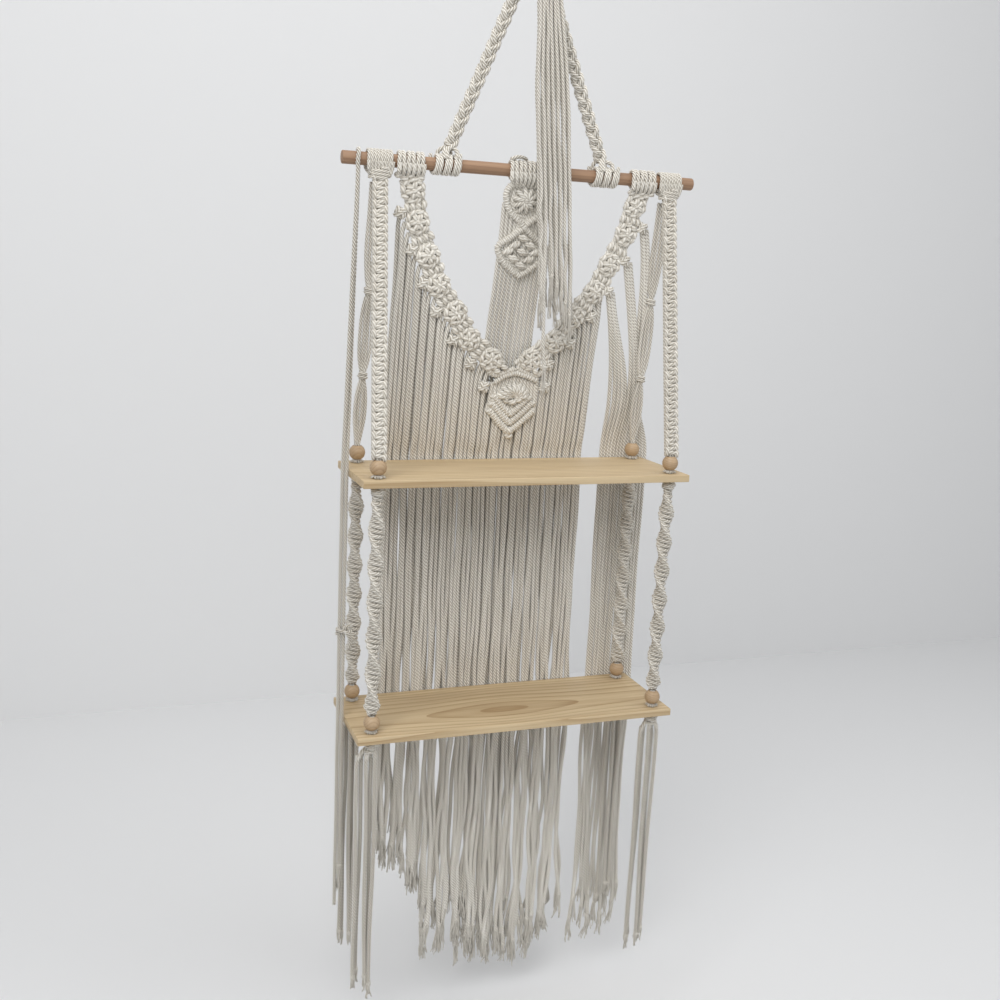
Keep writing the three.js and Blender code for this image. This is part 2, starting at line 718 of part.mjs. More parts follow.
// Knot that stands up from the front of a flat band
function dome(x, drop, diameter, height, thickness) {
  const flower = turned([[0, 0], [diameter / 2, 0], [diameter / 4, height], [0, height]]);
  return flower.rotateX(Math.PI / 2).translate(x, -thickness / 2, -drop);
}

function arm(name, side) {
  const inner = ARM_INNER_SHARES.map(armPoint);
  const outer = ARM_OUTER_SHARES.map(armPoint);
  const yokeBottom = -YOKE_BOTTOM;
  const outline = [
    [ARM_SPREAD - SIDE_HITCH_WIDTH / 2, yokeBottom - YOKE_HEIGHT / 3],
    ...inner,
    [GAP, LEAF_TOP_DROP - 2 * GAP],
    [leafHalf, LEAF_SHOULDER_DROP - 2 * GAP],
    ...outer.reverse(),
    [ARM_SPREAD + SIDE_HITCH_WIDTH / 2, yokeBottom - YOKE_HEIGHT / 3],
  ];
  const shapes = [plate(outline, ARM_THICKNESS)];
  for (const [x, drop] of FLOWER_SHARES.map(armPoint)) {
    shapes.push(dome(x, drop, FLOWER_D, FLOWER_HEIGHT, ARM_THICKNESS));
  }
  const head = yoke(ARM_THICKNESS).rotateX(-BIB_TILT).translate(ARM_SPREAD, 0, 0);
  add(name, fuse([...shapes, head]).scale(side, 1, 1).translate(BIB_X, 0, 0), cotton, bib);
}

// Leaf of hitched cords under the point of the V
function leaf() {
  const right = [[0, LEAF_TOP_DROP], ...leafLowerEdge.slice(0, -1), [0, LEAF_TIP_DROP]];
  const left = leafLowerEdge.slice(0, -1).map(([x, drop]) => [-x, drop]).reverse();
  const shapes = [plate([...right, ...left], LEAF_THICKNESS)];
  for (let k = 0; k < LEAF_RIBS; k += 1) {
    const shift = ((LEAF_TIP_DROP - LEAF_SHOULDER_DROP) * (k + 1)) / (LEAF_RIBS + 2);
    const reach = leafHalf * (0.86 - 0.14 * k);
    const rise = reach * 0.55;
    const y = -LEAF_THICKNESS / 2;
    const low = LEAF_SHOULDER_DROP + shift;
    shapes.push(cord([v(-reach, y, rise - low), v(0, y, -low), v(reach, y, rise - low)], LEAF_RIB_D));
  }
  add("v_leaf", fuse(shapes).translate(BIB_X, 0, 0), cotton, bib);
}

// Two knotted diamonds under the middle winding
const DIAMOND_TOP = -YOKE_BOTTOM - YOKE_HEIGHT / 3;

function centreDiamonds() {
  const half = DIAMOND_WIDTH / 2;
  const waist = between(DIAMOND_TOP, DIAMOND_DROP, DIAMOND_WAIST_SHARE);
  const outline = [
    [half * 0.8, DIAMOND_TOP],
    [half, between(DIAMOND_TOP, waist, 0.5)],
    [half * 0.45, waist],
    [half, between(DIAMOND_TOP, DIAMOND_DROP, DIAMOND_CORNER_SHARE)],
    [0, DIAMOND_DROP],
  ];
  const left = outline.slice(0, -1).map(([x, drop]) => [-x, drop]).reverse();
  const shapes = [
    plate([...outline, ...left], DIAMOND_THICKNESS),
    dome(0, between(DIAMOND_TOP, waist, 0.5), FLOWER_D, FLOWER_HEIGHT, DIAMOND_THICKNESS),
    yoke(DIAMOND_THICKNESS, CENTRE_TURNS * WRAP_PITCH + CORD_D).rotateX(-BIB_TILT),
  ];
  add("centre_diamonds", fuse(shapes).translate(BIB_X, 0, 0), cotton, bib);
}

// Fringe. A place in the slanting plane at a drop along it, or behind the boards below the bend
const benchDrop = BOARD_DROP / Math.cos(BIB_TILT);

function behind(x, drop, layer = 0) {
  if (drop < benchDrop) {
    const y = drop * Math.sin(BIB_TILT) + layer * Math.cos(BIB_TILT);
    return v(x, y, ROD_Z - drop * Math.cos(BIB_TILT) + layer * Math.sin(BIB_TILT));
  }
  return v(x, FRINGE_Y + layer, ROD_Z - BOARD_DROP - (drop - benchDrop));
}

// The outer edge of an arm and the leaf, moved out by a distance
function edgeLine(distance) {
  const edge = [...ARM_OUTER_SHARES.map(armPoint), ...leafLowerEdge];
  return edge.map(([x, drop], i) => {
    const [beforeX, beforeDrop] = edge[Math.max(i - 1, 0)];
    const [afterX, afterDrop] = edge[Math.min(i + 1, edge.length - 1)];
    const out = distance / Math.hypot(afterX - beforeX, afterDrop - beforeDrop);
    return [x + (afterDrop - beforeDrop) * out, drop - (afterX - beforeX) * out];
  });
}

function dropOnLine(line, reach) {
  for (let i = 1; i < line.length; i += 1) {
    const [x0, drop0] = line[i - 1];
    const [x1, drop1] = line[i];
    if (reach <= x0 && reach >= x1) return between(drop0, drop1, (x0 - reach) / (x0 - x1));
  }
  return line[reach > line[0][0] ? 0 : line.length - 1][1];
}

// A strand that starts on an edge, bends over the upper board's back edge and hangs to its end
function strand(startX, startDrop, hangX, endX, endDrop) {
  const bend = behind(hangX, benchDrop - BOARD_THICKNESS);
  bend.y = FRINGE_Y;
  const points = [
    behind(startX, startDrop),
    bend,
    behind(hangX, benchDrop + SHELF_SPACING),
    behind(endX, endDrop),
  ];
  return cord(points, CORD_D);
}

// Where a strand ends: the middle ones hang lowest, and none is cut quite like the next
function endDropAt(reach, index) {
  const outward = Math.max(0, reach / ARM_SPREAD - EVEN_SHARE) / (1 - EVEN_SHARE);
  return between(FRINGE_MIDDLE_DROP, FRINGE_SIDE_DROP, outward) - ((index * 7) % 5) * UNEVEN;
}

const headerOut = GAP + HEADER_D / 2 + GAP;
const headerLine = edgeLine(headerOut);

function header(side) {
  const points = headerLine.map(([x, drop]) => behind(BIB_X + side * x, drop));
  const tip = points[points.length - 1];
  tip.x = BIB_X + side * (PARTING / 2);
  return cord(points, HEADER_D);
}

function berries(side) {
  return BERRY_SHARES.map(armPoint).map(([x, drop]) => {
    const place = behind(BIB_X + side * (x + HEADER_D), drop + HEADER_D);
    const ball = new THREE.SphereGeometry(BERRY_D / 2, 6, 5);
    return ball.translate(place.x, place.y, place.z);
  });
}

function straightStrands(side, width) {
  const count = Math.floor((width - PARTING / 2) / STRAND_PITCH) + 1;
  const shapes = [];
  for (let i = 0; i < count; i += 1) {
    const reach = PARTING / 2 + i * STRAND_PITCH;
    const x = BIB_X + side * reach;
    shapes.push(strand(x, dropOnLine(headerLine, reach), x, x, endDropAt(reach, i)));
  }
  return shapes;
}

// The right arm's upper cords fan out, are drawn together behind the sling, and spread again
function panelStrands() {
  const shapes = [];
  for (let i = 0; i < PANEL_STRANDS; i += 1) {
    const share = i / (PANEL_STRANDS - 1);
    const reach = between(RIGHT_FRINGE_WIDTH + 2 * STRAND_PITCH, ARM_SPREAD, share);
    const hangX = between(PANEL_INNER_X, PANEL_OUTER_X, share);
    const gatherX = between(hangX, PANEL_GATHER_X, share * PANEL_GATHER_SHARE);
    const bend = behind(hangX, benchDrop - BOARD_THICKNESS);
    bend.y = FRINGE_Y;
    const points = [
      behind(BIB_X + reach, dropOnLine(headerLine, reach)),
      behind(gatherX, PANEL_GATHER_DROP),
      bend,
      behind(hangX, benchDrop + SHELF_SPACING),
      behind(hangX - CORD_D, PANEL_DROP - ((i * 7) % 5) * PANEL_UNEVEN),
    ];
    shapes.push(cord(points, CORD_D));
  }
  return shapes;
}

// Plain cords from the diamonds' lower edges, which pass behind the V and hang behind the others
function centreStrands() {
  const half = DIAMOND_WIDTH / 2;
  const layer = ARM_THICKNESS / 2 + 2 * GAP + CORD_R;
  const line = [
    [half + headerOut * SLANT_SHARE, between(DIAMOND_TOP, DIAMOND_DROP, DIAMOND_CORNER_SHARE)],
    [0, DIAMOND_DROP + headerOut * SLANT_SHARE],
  ];
  const shapes = [];
  const ends = [-1, 0, 1].map((side) => {
    const [x, drop] = line[side === 0 ? 1 : 0];
    return behind(BIB_X + side * x, drop);
  });
  shapes.push(cord(ends, HEADER_D));
  const count = Math.floor((2 * half) / STRAND_PITCH) + 1;
  for (let i = 0; i < count; i += 1) {
    const x = BIB_X + (i - (count - 1) / 2) * STRAND_PITCH;
    const start = dropOnLine(line, Math.abs(x - BIB_X));
    const bend = behind(x, benchDrop - BOARD_THICKNESS, layer);
    bend.y = FRINGE_Y + layer;
    const end = behind(x, FRINGE_MIDDLE_DROP - ((i * 3) % 4) * 3 * UNEVEN, layer);
    shapes.push(cord([behind(x, start), behind(x, V_DROP * PASS_SHARE, layer), bend, end], CORD_D));
  }
  return shapes;
}

// The cord at the rod's left end: folded over the rod, both legs hanging past the boards' ends
function outerCord() {
  const x = frontHitchX(-1) - (SIDE_HITCH_WIDTH / 2 + HITCH_SPACING + WRAP_PITCH / 2 + CORD_R);
  const half = WRAP_PITCH / 2;
  const innerX = -(BOARD_WIDTH / 2 + OUTER_CORD_SPACE + CORD_R);
  const leg = (start, hangX, drop) => [
    v(hangX, -OUTER_CORD_FORWARD, ROD_Z - drop),
    v(hangX, -OUTER_CORD_FORWARD, LOWER_Z),
    v(hangX, -OUTER_CORD_FORWARD, UPPER_Z),
    start,
  ];
  const saddle = [];
  for (let i = 0; i <= WRAP_STEPS / 2; i += 1) {
    const angle = (2 * Math.PI * i) / WRAP_STEPS;
    const along = x - half + (WRAP_PITCH * i * 2) / WRAP_STEPS;
    saddle.push(v(along, -WRAP_R * Math.cos(angle), ROD_Z + WRAP_R * Math.sin(angle)));
  }
  const frontStart = v(x - half, -WRAP_R, ROD_Z - WRAP_REACH);
  const backStart = v(x + half, WRAP_R, ROD_Z - WRAP_REACH);
  const frontLeg = leg(frontStart, innerX - WRAP_PITCH, OUTER_CORD_DROP);
  const backLeg = leg(backStart, innerX, OUTER_CORD_DROP - 3 * CORD_D).reverse();
  add("outer_cord", cord([...frontLeg, ...saddle, ...backLeg], CORD_D), cotton);
}

for (const [label, side] of Object.entries(SIDES)) arm(`${label}_v_arm`, side);
leaf();
centreDiamonds();
outerCord();
add("left_fringe", fuse([header(-1), ...berries(-1), ...straightStrands(-1, LEFT_FRINGE_WIDTH)]), cotton);
add(
  "right_fringe",
  fuse([header(1), ...berries(1), ...straightStrands(1, RIGHT_FRINGE_WIDTH), ...panelStrands()]),
  cotton,
);
add("centre_fringe", fuse(centreStrands()), cotton);

export default ropeShelf;
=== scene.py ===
import math

import bpy
import numpy as np
from bpy.props import FloatProperty, FloatVectorProperty, IntProperty, PointerProperty
from mathutils import Matrix, Vector


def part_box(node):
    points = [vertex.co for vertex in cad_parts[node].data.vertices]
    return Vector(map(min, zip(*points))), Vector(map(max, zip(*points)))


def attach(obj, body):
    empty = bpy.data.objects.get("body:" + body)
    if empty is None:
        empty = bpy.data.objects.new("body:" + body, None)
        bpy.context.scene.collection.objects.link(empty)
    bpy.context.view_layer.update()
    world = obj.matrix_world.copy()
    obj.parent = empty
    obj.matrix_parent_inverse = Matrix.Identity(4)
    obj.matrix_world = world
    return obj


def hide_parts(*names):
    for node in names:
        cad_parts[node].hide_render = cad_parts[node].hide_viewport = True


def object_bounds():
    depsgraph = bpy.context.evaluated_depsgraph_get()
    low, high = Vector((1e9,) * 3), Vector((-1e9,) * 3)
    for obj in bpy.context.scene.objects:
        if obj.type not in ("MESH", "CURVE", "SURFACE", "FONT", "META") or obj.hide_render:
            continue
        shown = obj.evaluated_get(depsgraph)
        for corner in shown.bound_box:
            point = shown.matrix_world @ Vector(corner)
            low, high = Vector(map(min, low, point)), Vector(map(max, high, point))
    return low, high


bl_info = {
    "name": "Hanging rope shelf",
    "version": (1, 0, 0),
    "blender": (4, 5, 0),
    "location": "3D View > Sidebar > Rope shelf",
    "description": "Dresses the frame of a two-tier shelf of knotted cord with laid cords, knots and wood",
    "category": "Object",
}

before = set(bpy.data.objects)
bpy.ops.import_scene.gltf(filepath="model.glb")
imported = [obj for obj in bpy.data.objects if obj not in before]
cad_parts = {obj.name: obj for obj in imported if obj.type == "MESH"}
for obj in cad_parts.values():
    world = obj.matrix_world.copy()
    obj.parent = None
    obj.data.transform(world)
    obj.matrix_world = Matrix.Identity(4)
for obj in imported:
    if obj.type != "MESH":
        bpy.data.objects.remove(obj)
CAD_BOX = [list(map(float, corner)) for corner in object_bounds()]

# Lengths in this file are millimetres until a mesh is made, except in the stage, the lights and the wood
MM = 0.001
TURN = 2 * math.pi


def node_box(name):
    low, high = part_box(name)
    return np.array(low) / MM, np.array(high) / MM


ROD_LOW, ROD_HIGH = node_box("dowel_rod")
UPPER_LOW, UPPER_HIGH = node_box("upper_board")
ROD_Z = (ROD_LOW[2] + ROD_HIGH[2]) / 2
ROD_R = (ROD_HIGH[2] - ROD_LOW[2]) / 2
UPPER_Z = UPPER_HIGH[2]
LOWER_Z = node_box("lower_board")[1][2]
BOARD_THICKNESS = UPPER_HIGH[2] - UPPER_LOW[2]
HOLE_X = 189.5
HOLE_Y = {"front": -65.2, "back": 43.2}
SIDES = {"left": -1, "right": 1}
BORE_R = 4.7
BEAD_R = 10
BEAD_LIFT = 4.2
BEAD_HEIGHT = 17.65
BEAD_TOP = BEAD_LIFT + BEAD_HEIGHT
CORD_R = 2.5
STRANDS = 4
YARNS = 9
WRAP_R = ROD_R + 0.3 + CORD_R
WRAP_PITCH = 5.6
# Where cords leave the rod: how far in front of or behind its middle, and how far below it
LEAVE_Y = 10.6
LEAVE_DROP = 2
ARM_X = {"left": -144.5, "right": 154.5}
SLING_X = {"left": -181.4, "right": 191.4}
BRAID_X = {"left": -102, "right": 102}
BRAID_STEP = 46
BIB_X = 5
# The fringe slants back from the rod to the upper board's back edge, and hangs straight below it
FRINGE_Y = 62.0
BOARD_DROP = 360
EDGE_Z = ROD_Z - BOARD_DROP
BIB_TILT = math.atan(FRINGE_Y / BOARD_DROP)
BENCH_DROP = BOARD_DROP / math.cos(BIB_TILT)
KNOT_BOTTOM = -(BOARD_THICKNESS + 12.3)
PIVOT_DROP = 0.3 + 2.6

# The camera, fitted to the photograph: its place, and its turns about the upright, sideways and forwards
CAMERA_PLACE = (-507.1, -1322.6, -407.9)
CAMERA_TURNS = (0.3571, -0.1994, 0.0475)

# Each board's body, ring width, heart line (y, z) and lean, and what bows its rings into an oval
BOARDS = {
    "upper_board": ("shelf", 0.0095, (-0.31, -0.70), 0.02, {}),
    "lower_board": ("lower_shelf", 0.0072, (-0.010, -0.990), 0.0, {"middle": -0.005, "bow": 1.8, "core": 0.040}),
}

# Each tassel's lean to the side and half its width
TASSELS = {
    "front_left": (-6.0, 11.6),
    "front_right": (-3.0, 11.6),
    "back_left": (-2.0, 9.8),
    "back_right": (0.0, 9.8),
}
TASSEL_LENGTH = 333

# The tail: where it is tied, its two layers, and its columns' spacing at the tie and at the rod
TIE_X, TIE_Y = 6, -19.8
TIE_TOP, TIE_BOTTOM = -26.5, -38.5
TAIL_LAYERS = (-18.46, -23.36)
TAIL_TIED, TAIL_SPREAD = 2.75, 6.3
TAIL_LENGTH = 188
TAIL_LONGER = {(1, 1): 86, (6, 1): 41}

# The V, as (sideways from its middle, down its slanting plane from the rod)
ARM_SPREAD = 149.5
ARM_CENTRES = [(144.1, 31.1), (136.1, 67), (119.7, 105.9), (103.5, 140.6), (79, 173.4), (58, 206.1), (27, 231.1)]
ARM_OUTER = [(164.5, 36), (158.5, 64.8), (139, 108), (119.6, 151), (97.2, 184.8), (71.8, 216), (46.3, 249.6)]
ARM_BERRIES = [(157.4, 56), (140, 98.2), (122.3, 137.6), (103.5, 171.7), (78.6, 206.6), (52.2, 235.7)]
LEAF_MID = BIB_X + 9
LEAF_ROWS = (
    ((-28, 277.5), (-1.6, 304.2), (22.5, 280.0)),
    ((-30.0, 287.0), (-0.9, 316.2), (28.5, 287.0)),
    ((-31.5, 298.0), (-1.2, 328.6), (30.5, 298.5)),
)
LEAF_PEARLS = ((-17, 279, 0.7), (-9, 284.5, 0.4), (0, 287, 0), (9, 284.5, -0.4), (16, 279, -0.7))
DIAMOND_MID = BIB_X - 1
UPPER_DIAMOND = [(8, 13.5), (21, 16), (27.5, 25), (26.5, 36), (17.5, 51), (6.5, 59), (0, 66)]
LOWER_DIAMOND = [(0, 66), (18, 80), (32, 91), (26.5, 104), (12, 117), (0, 125)]
DIAMOND_KNOTS = ((0, 79), (-10, 87.5), (10, 87.5), (-18, 95), (0, 95.5), (18, 95), (-10, 104), (10, 104), (0, 112))

# The fringe: the outline that it hangs from, and where its cords end, as (x, drop)
LEFT_EDGE = ARM_OUTER + [(26, 262), (24.5, 300), (12, 312), (0, 321)]
RIGHT_EDGE = ARM_OUTER + [(38, 262), (36.5, 304), (28, 318), (14, 331), (0, 321)]
LEFT_ENDS = (
    *((-146, 930), (-139, 941), (-112, 945), (-107, 985), (-88, 995)),
    *((-80, 1040), (-66, 1092), (-42, 1070), (-18, 1082), (5, 1100)),
)
RIGHT_ENDS = ((5, 1108), (13, 1107), (45, 1118), (76, 1118), (100, 1085), (125, 1050))
FRINGE_PITCH = 5.6
FRAY_GROUP = 4
FREE_FALL = 700

# The outer cord: its middle on the rod, half its fold's width, its depth below, each half's (x, drop), its bow
OUTER_X, OUTER_HALF, OUTER_Y = -205.7, 2.5, -8.0
OUTER_ENDS = ((-218.4, 930), (-213.6, 915))
OUTER_BOW = (
    [(-215, -3, 2), (-208, -5, 7), (-204, -4, 2), (-209, -5, -2), (-214, -5, 0)],
    [(-214, -5, 1), (-209, -5, -5), (-206, -3, -14), (-207, -2, -22)],
)


# Sizes and colours that can be changed
def number_setting(name, text, default, **how):
    return FloatProperty(name=name, description=text, default=default, **how)


def colour_setting(name, text, *default):
    return FloatVectorProperty(name=name, description=text, subtype="COLOR", default=default, min=0, max=1)


class CordSettings(bpy.types.PropertyGroup):
    lay: number_setting("Lay", "Length of one full turn of a cord's four strands, in millimetres", 17.6, min=5)
    valley: number_setting(
        "Valley", "Radius between two strands as a share of the cord's radius", 0.70, subtype="FACTOR", min=0, max=1
    )
    step: number_setting("Step", "Distance between two rings of a long cord, in millimetres", 1.9, min=0.5)
    fray: number_setting("Fray", "Length over which a cut end comes apart, in millimetres", 38, min=0)
    light: colour_setting("Light cream", "Colour of the strands' crests", 0.96, 0.93, 0.86)
    # The dark cream is painted shade: the colour that the cords take between their strands, where the valleys lie in
    # shade
    dark: colour_setting("Dark cream", "Colour between the strands", 0.325, 0.278, 0.208)
    seed: IntProperty(name="Seed", description="Start of the random draws", default=7)


class WoodSettings(bpy.types.PropertyGroup):
    pine_light: colour_setting("Pine, early wood", "Pale part of the boards' rings", 0.62, 0.485, 0.30)
    pine_dark: colour_setting("Pine, late wood", "Dark part of the boards' rings", 0.37, 0.245, 0.12)
    rod_light: colour_setting("Rod, light", "Pale part of the rod's grain", 0.37, 0.225, 0.135)
    rod_dark: colour_setting("Rod, dark", "Dark part of the rod's grain", 0.165, 0.09, 0.05)
    bead_light: colour_setting("Beads, light", "Pale part of the beads' grain", 0.50, 0.36, 0.22)
    bead_dark: colour_setting("Beads, dark", "Dark part of the beads' grain", 0.32, 0.205, 0.115)
    bevel: number_setting("Board bevel", "Width of the boards' eased edges", 0.0009, unit="LENGTH", min=0)


class StageSettings(bpy.types.PropertyGroup):
    floor: colour_setting("Floor", "Colour of the floor", 0.80, 0.80, 0.80)
    key: number_setting("Key light", "Strength of the main light", 43, unit="POWER", min=0)
    lens: number_setting("Lens", "Focal length of the camera", 40.874, unit="CAMERA", min=1)


# Shader maths
class Value:
    """A shader socket that takes part in Python arithmetic"""

    def __init__(self, shader, socket):
        self.shader = shader
        self.socket = socket

    def maths(self, operation, *others):
        return self.shader.node("ShaderNodeMath", {"operation": operation}, dict(enumerate([self, *others])))

    def __add__(self, other):
        return self.maths("ADD", other)

    __radd__ = __add__

    def __sub__(self, other):
        return self.maths("SUBTRACT", other)

    def __rsub__(self, other):
        return self.maths("MULTIPLY", -1).maths("ADD", other)

    def __mul__(self, other):
        return self.maths("MULTIPLY", other)

    __rmul__ = __mul__

    def __truediv__(self, other):
        return self.maths("DIVIDE", other)

    def __pow__(self, other):
        return self.maths("POWER", other)


class Shader:
    """A new material with its Principled node"""

    def __init__(self, name, roughness):
        self.material = bpy.data.materials.new(name)
        self.material.use_nodes = True
        self.tree = self.material.node_tree
        self.surface = self.tree.nodes["Principled BSDF"]
        self.surface.inputs["Roughness"].default_value = roughness

    def feed(self, socket, value):
        if isinstance(value, Value):
            self.tree.links.new(value.socket, socket)
        elif isinstance(value, (tuple, list)) and len(value) == 3 and len(socket.default_value) == 4:
            socket.default_value = (*value, 1)
        else:
            socket.default_value = value

    def node(self, kind, settings=None, sockets=None, output=0):
        made = self.tree.nodes.new(kind)
        for name, value in (settings or {}).items():
            setattr(made, name, value)
        for name, value in (sockets or {}).items():
            self.feed(made.inputs[name], value)
        return Value(self, made.outputs[output])

    def mix(self, factor, first, second):
        sockets = {0: factor, 6: first, 7: second}
        return self.node("ShaderNodeMix", {"data_type": "RGBA"}, sockets, 2)

    def noise(self, vector, scale, detail=2.0, roughness=0.5):
        sockets = {"Vector": vector, "Scale": scale, "Detail": detail, "Roughness": roughness}
        return self.node("ShaderNodeTexNoise", None, sockets)

    def stretched(self, vector, scale):
        return self.node("ShaderNodeMapping", None, {"Vector": vector, "Scale": scale})

    def bump(self, height, distance, strength=1.0):
        sockets = {"Strength": strength, "Distance": distance, "Height": height}
        self.feed(self.surface.inputs["Normal"], self.node("ShaderNodeBump", None, sockets))


materials = {}


def cotton():
    """Laid cotton cord: crests in the light cream with painted shade in the dark cream between the strands, yarn
    lines along each strand and a dry fuzz
    """
    if "cotton" in materials:
        return materials["cotton"]
    settings = bpy.context.scene.shelf_cord
    s = Shader("cotton_cord", 0.93)
    place = s.node("ShaderNodeTexCoord", None, None, "Object")
    lay = s.node("ShaderNodeUVMap", {"uv_map": "lay"})
    along, around = (s.node("ShaderNodeSeparateXYZ", None, {0: lay}, k) for k in range(2))
    tone, plump = (s.node("ShaderNodeAttribute", {"attribute_name": name}, None, "Fac") for name in ("tone", "plump"))
    # Painted shade between the strands: the colour runs from the light cream at the strands' tops to the dark cream
    # in the valleys between them
    lobe = ((around * (STRANDS * TURN)).maths("COSINE") * 0.5 + 0.5) ** 0.75
    # Plumper cords get a fainter painted shade between their strands, and cords with a sharper lay a stronger one
    painted_lay_shade = lobe * (plump * -0.60 + 1.0) + plump * 0.46
    yarn = (around * (2 * YARNS * TURN) + along * (2 * TURN)).maths("SINE") * 0.5 + 0.5
    fuzz = s.noise(place, 900, 3, 0.6)
    patches = s.noise(place, 14, 2)
    # The crests' term is painted shade; the per-cord term adds each piece's painted lightening and darkening to a
    # random lightness; yarn lines, fuzz and patches are the cord's own colour
    shade = painted_lay_shade * 0.90 + yarn * 0.08 + fuzz * 0.20 + tone * 0.14 + patches * 0.16 - 0.24
    colour = s.mix(shade.maths("MINIMUM", 1.0), tuple(settings.dark), tuple(settings.light))
    s.feed(s.surface.inputs["Base Color"], colour)
    s.surface.inputs["Specular IOR Level"].default_value = 0.2
    s.surface.inputs["Sheen Weight"].default_value = 0.25
    s.bump(yarn * 0.5 + fuzz, 0.00035, 0.7)
    materials["cotton"] = s.material
    return s.material


def wood(name, kind, ring, heart, lean, roughness, middle=0.0, bow=0.0, core=0.0):
    """Planed wood: rings about a leaning or bowed heart line, with fine streaks along the grain"""
    settings = bpy.context.scene.shelf_wood
    light, dark = (tuple(getattr(settings, f"{kind}_{tint}")) for tint in ("light", "dark"))
    s = Shader(name, roughness)
    place = s.node("ShaderNodeTexCoord", None, None, "Object")
    stretches = ((2.2, 9, 9), (14, 520, 520), (60, 1500, 1500), (1.5, 12, 12), (5, 130, 130))
    noises = (s.noise(s.stretched(place, scale), 1.0, detail) for scale, detail in zip(stretches, (2, 3, 2, 1, 2)))
    drift, streaks, pores, broad, bands = noises
    x, y, z = (s.node("ShaderNodeSeparateXYZ", None, {0: place}, k) for k in range(3))
    across = y - heart[0] + drift * (0.03 if bow else 0.008)
    off = (x - middle) * (x - middle)
    height = z - heart[1] + x * lean + off * bow / (off * 110 + 1.0)
    away = (across * across + height * height).maths("SQRT")
    late = (away / ring).maths("FRACT") ** 3.0
    inner = ((away - core) * -90).maths("MAXIMUM", 0.0).maths("MINIMUM", 1.0)
    grain = late * (0.72 if bow else 0.5) + streaks * 0.55 + bands * 0.9 + pores * 0.16
    shade = grain + broad * 0.3 + inner * 0.42 - 0.83
    colour = s.mix(shade.maths("MAXIMUM", 0.0).maths("MINIMUM", 1.0), light, dark)
    s.feed(s.surface.inputs["Base Color"], colour)
    s.feed(s.surface.inputs["Roughness"], streaks * 0.16 + (roughness - 0.08))
    s.bump(streaks * 0.6 + pores * 0.5 - late * 0.25, 0.00012, 0.6)
    return s.material


# Paths
def travelled(path):
    """How far along a path each of its points is"""
    return np.concatenate([[0], np.cumsum(np.linalg.norm(np.diff(path, axis=0), axis=1))])


def unit(vectors):
    return vectors / np.linalg.norm(vectors, axis=-1, keepdims=True)


def even_path(points, step):
    along = travelled(points)
    wanted = np.linspace(0, along[-1], max(3, int(round(along[-1] / step)) + 1))
    return np.stack([np.interp(wanted, along, points[:, k]) for k in range(3)], axis=1)


def smooth_path(points, step):
    """Evenly spaced points on one smooth curve through the given ones"""
    points = np.asarray(points, float)
    along = travelled(points)
    gaps = np.diff(along)
    slopes = np.gradient(points, along, axis=0)
    wanted = np.linspace(0, along[-1], max(4, int(along[-1] / step * 2)))
    run = np.clip(np.searchsorted(along, wanted, side="right") - 1, 0, len(gaps) - 1)
    size = gaps[run][:, None]
    t = (wanted - along[run])[:, None] / size
    start, end = points[run], points[run + 1]
    out, into = slopes[run] * size, slopes[run + 1] * size
    ends = (2 * t**3 - 3 * t**2 + 1) * start + (3 * t**2 - 2 * t**3) * end
    return even_path(ends + (t**3 - 2 * t**2 + t) * out + (t**3 - t**2) * into, step)


def path_frames(path):
    """Two directions across the path at each point, turning as little as they can along it"""
    ahead = unit(np.gradient(path, axis=0))
    first = np.cross(ahead[0], (0.0, 1.0, 0.0) if abs(ahead[0][1]) < 0.9 else (1.0, 0.0, 0.0))
    nx, ny, nz = first / np.linalg.norm(first)
    normals = []
    for ax, ay, az in ahead.tolist():
        d = nx * ax + ny * ay + nz * az
        nx, ny, nz = nx - d * ax, ny - d * ay, nz - d * az
        size = math.sqrt(nx * nx + ny * ny + nz * nz)
        nx, ny, nz = nx / size, ny / size, nz / size
        normals.append((nx, ny, nz))
    normals = np.array(normals)
    return normals, np.cross(ahead, normals)


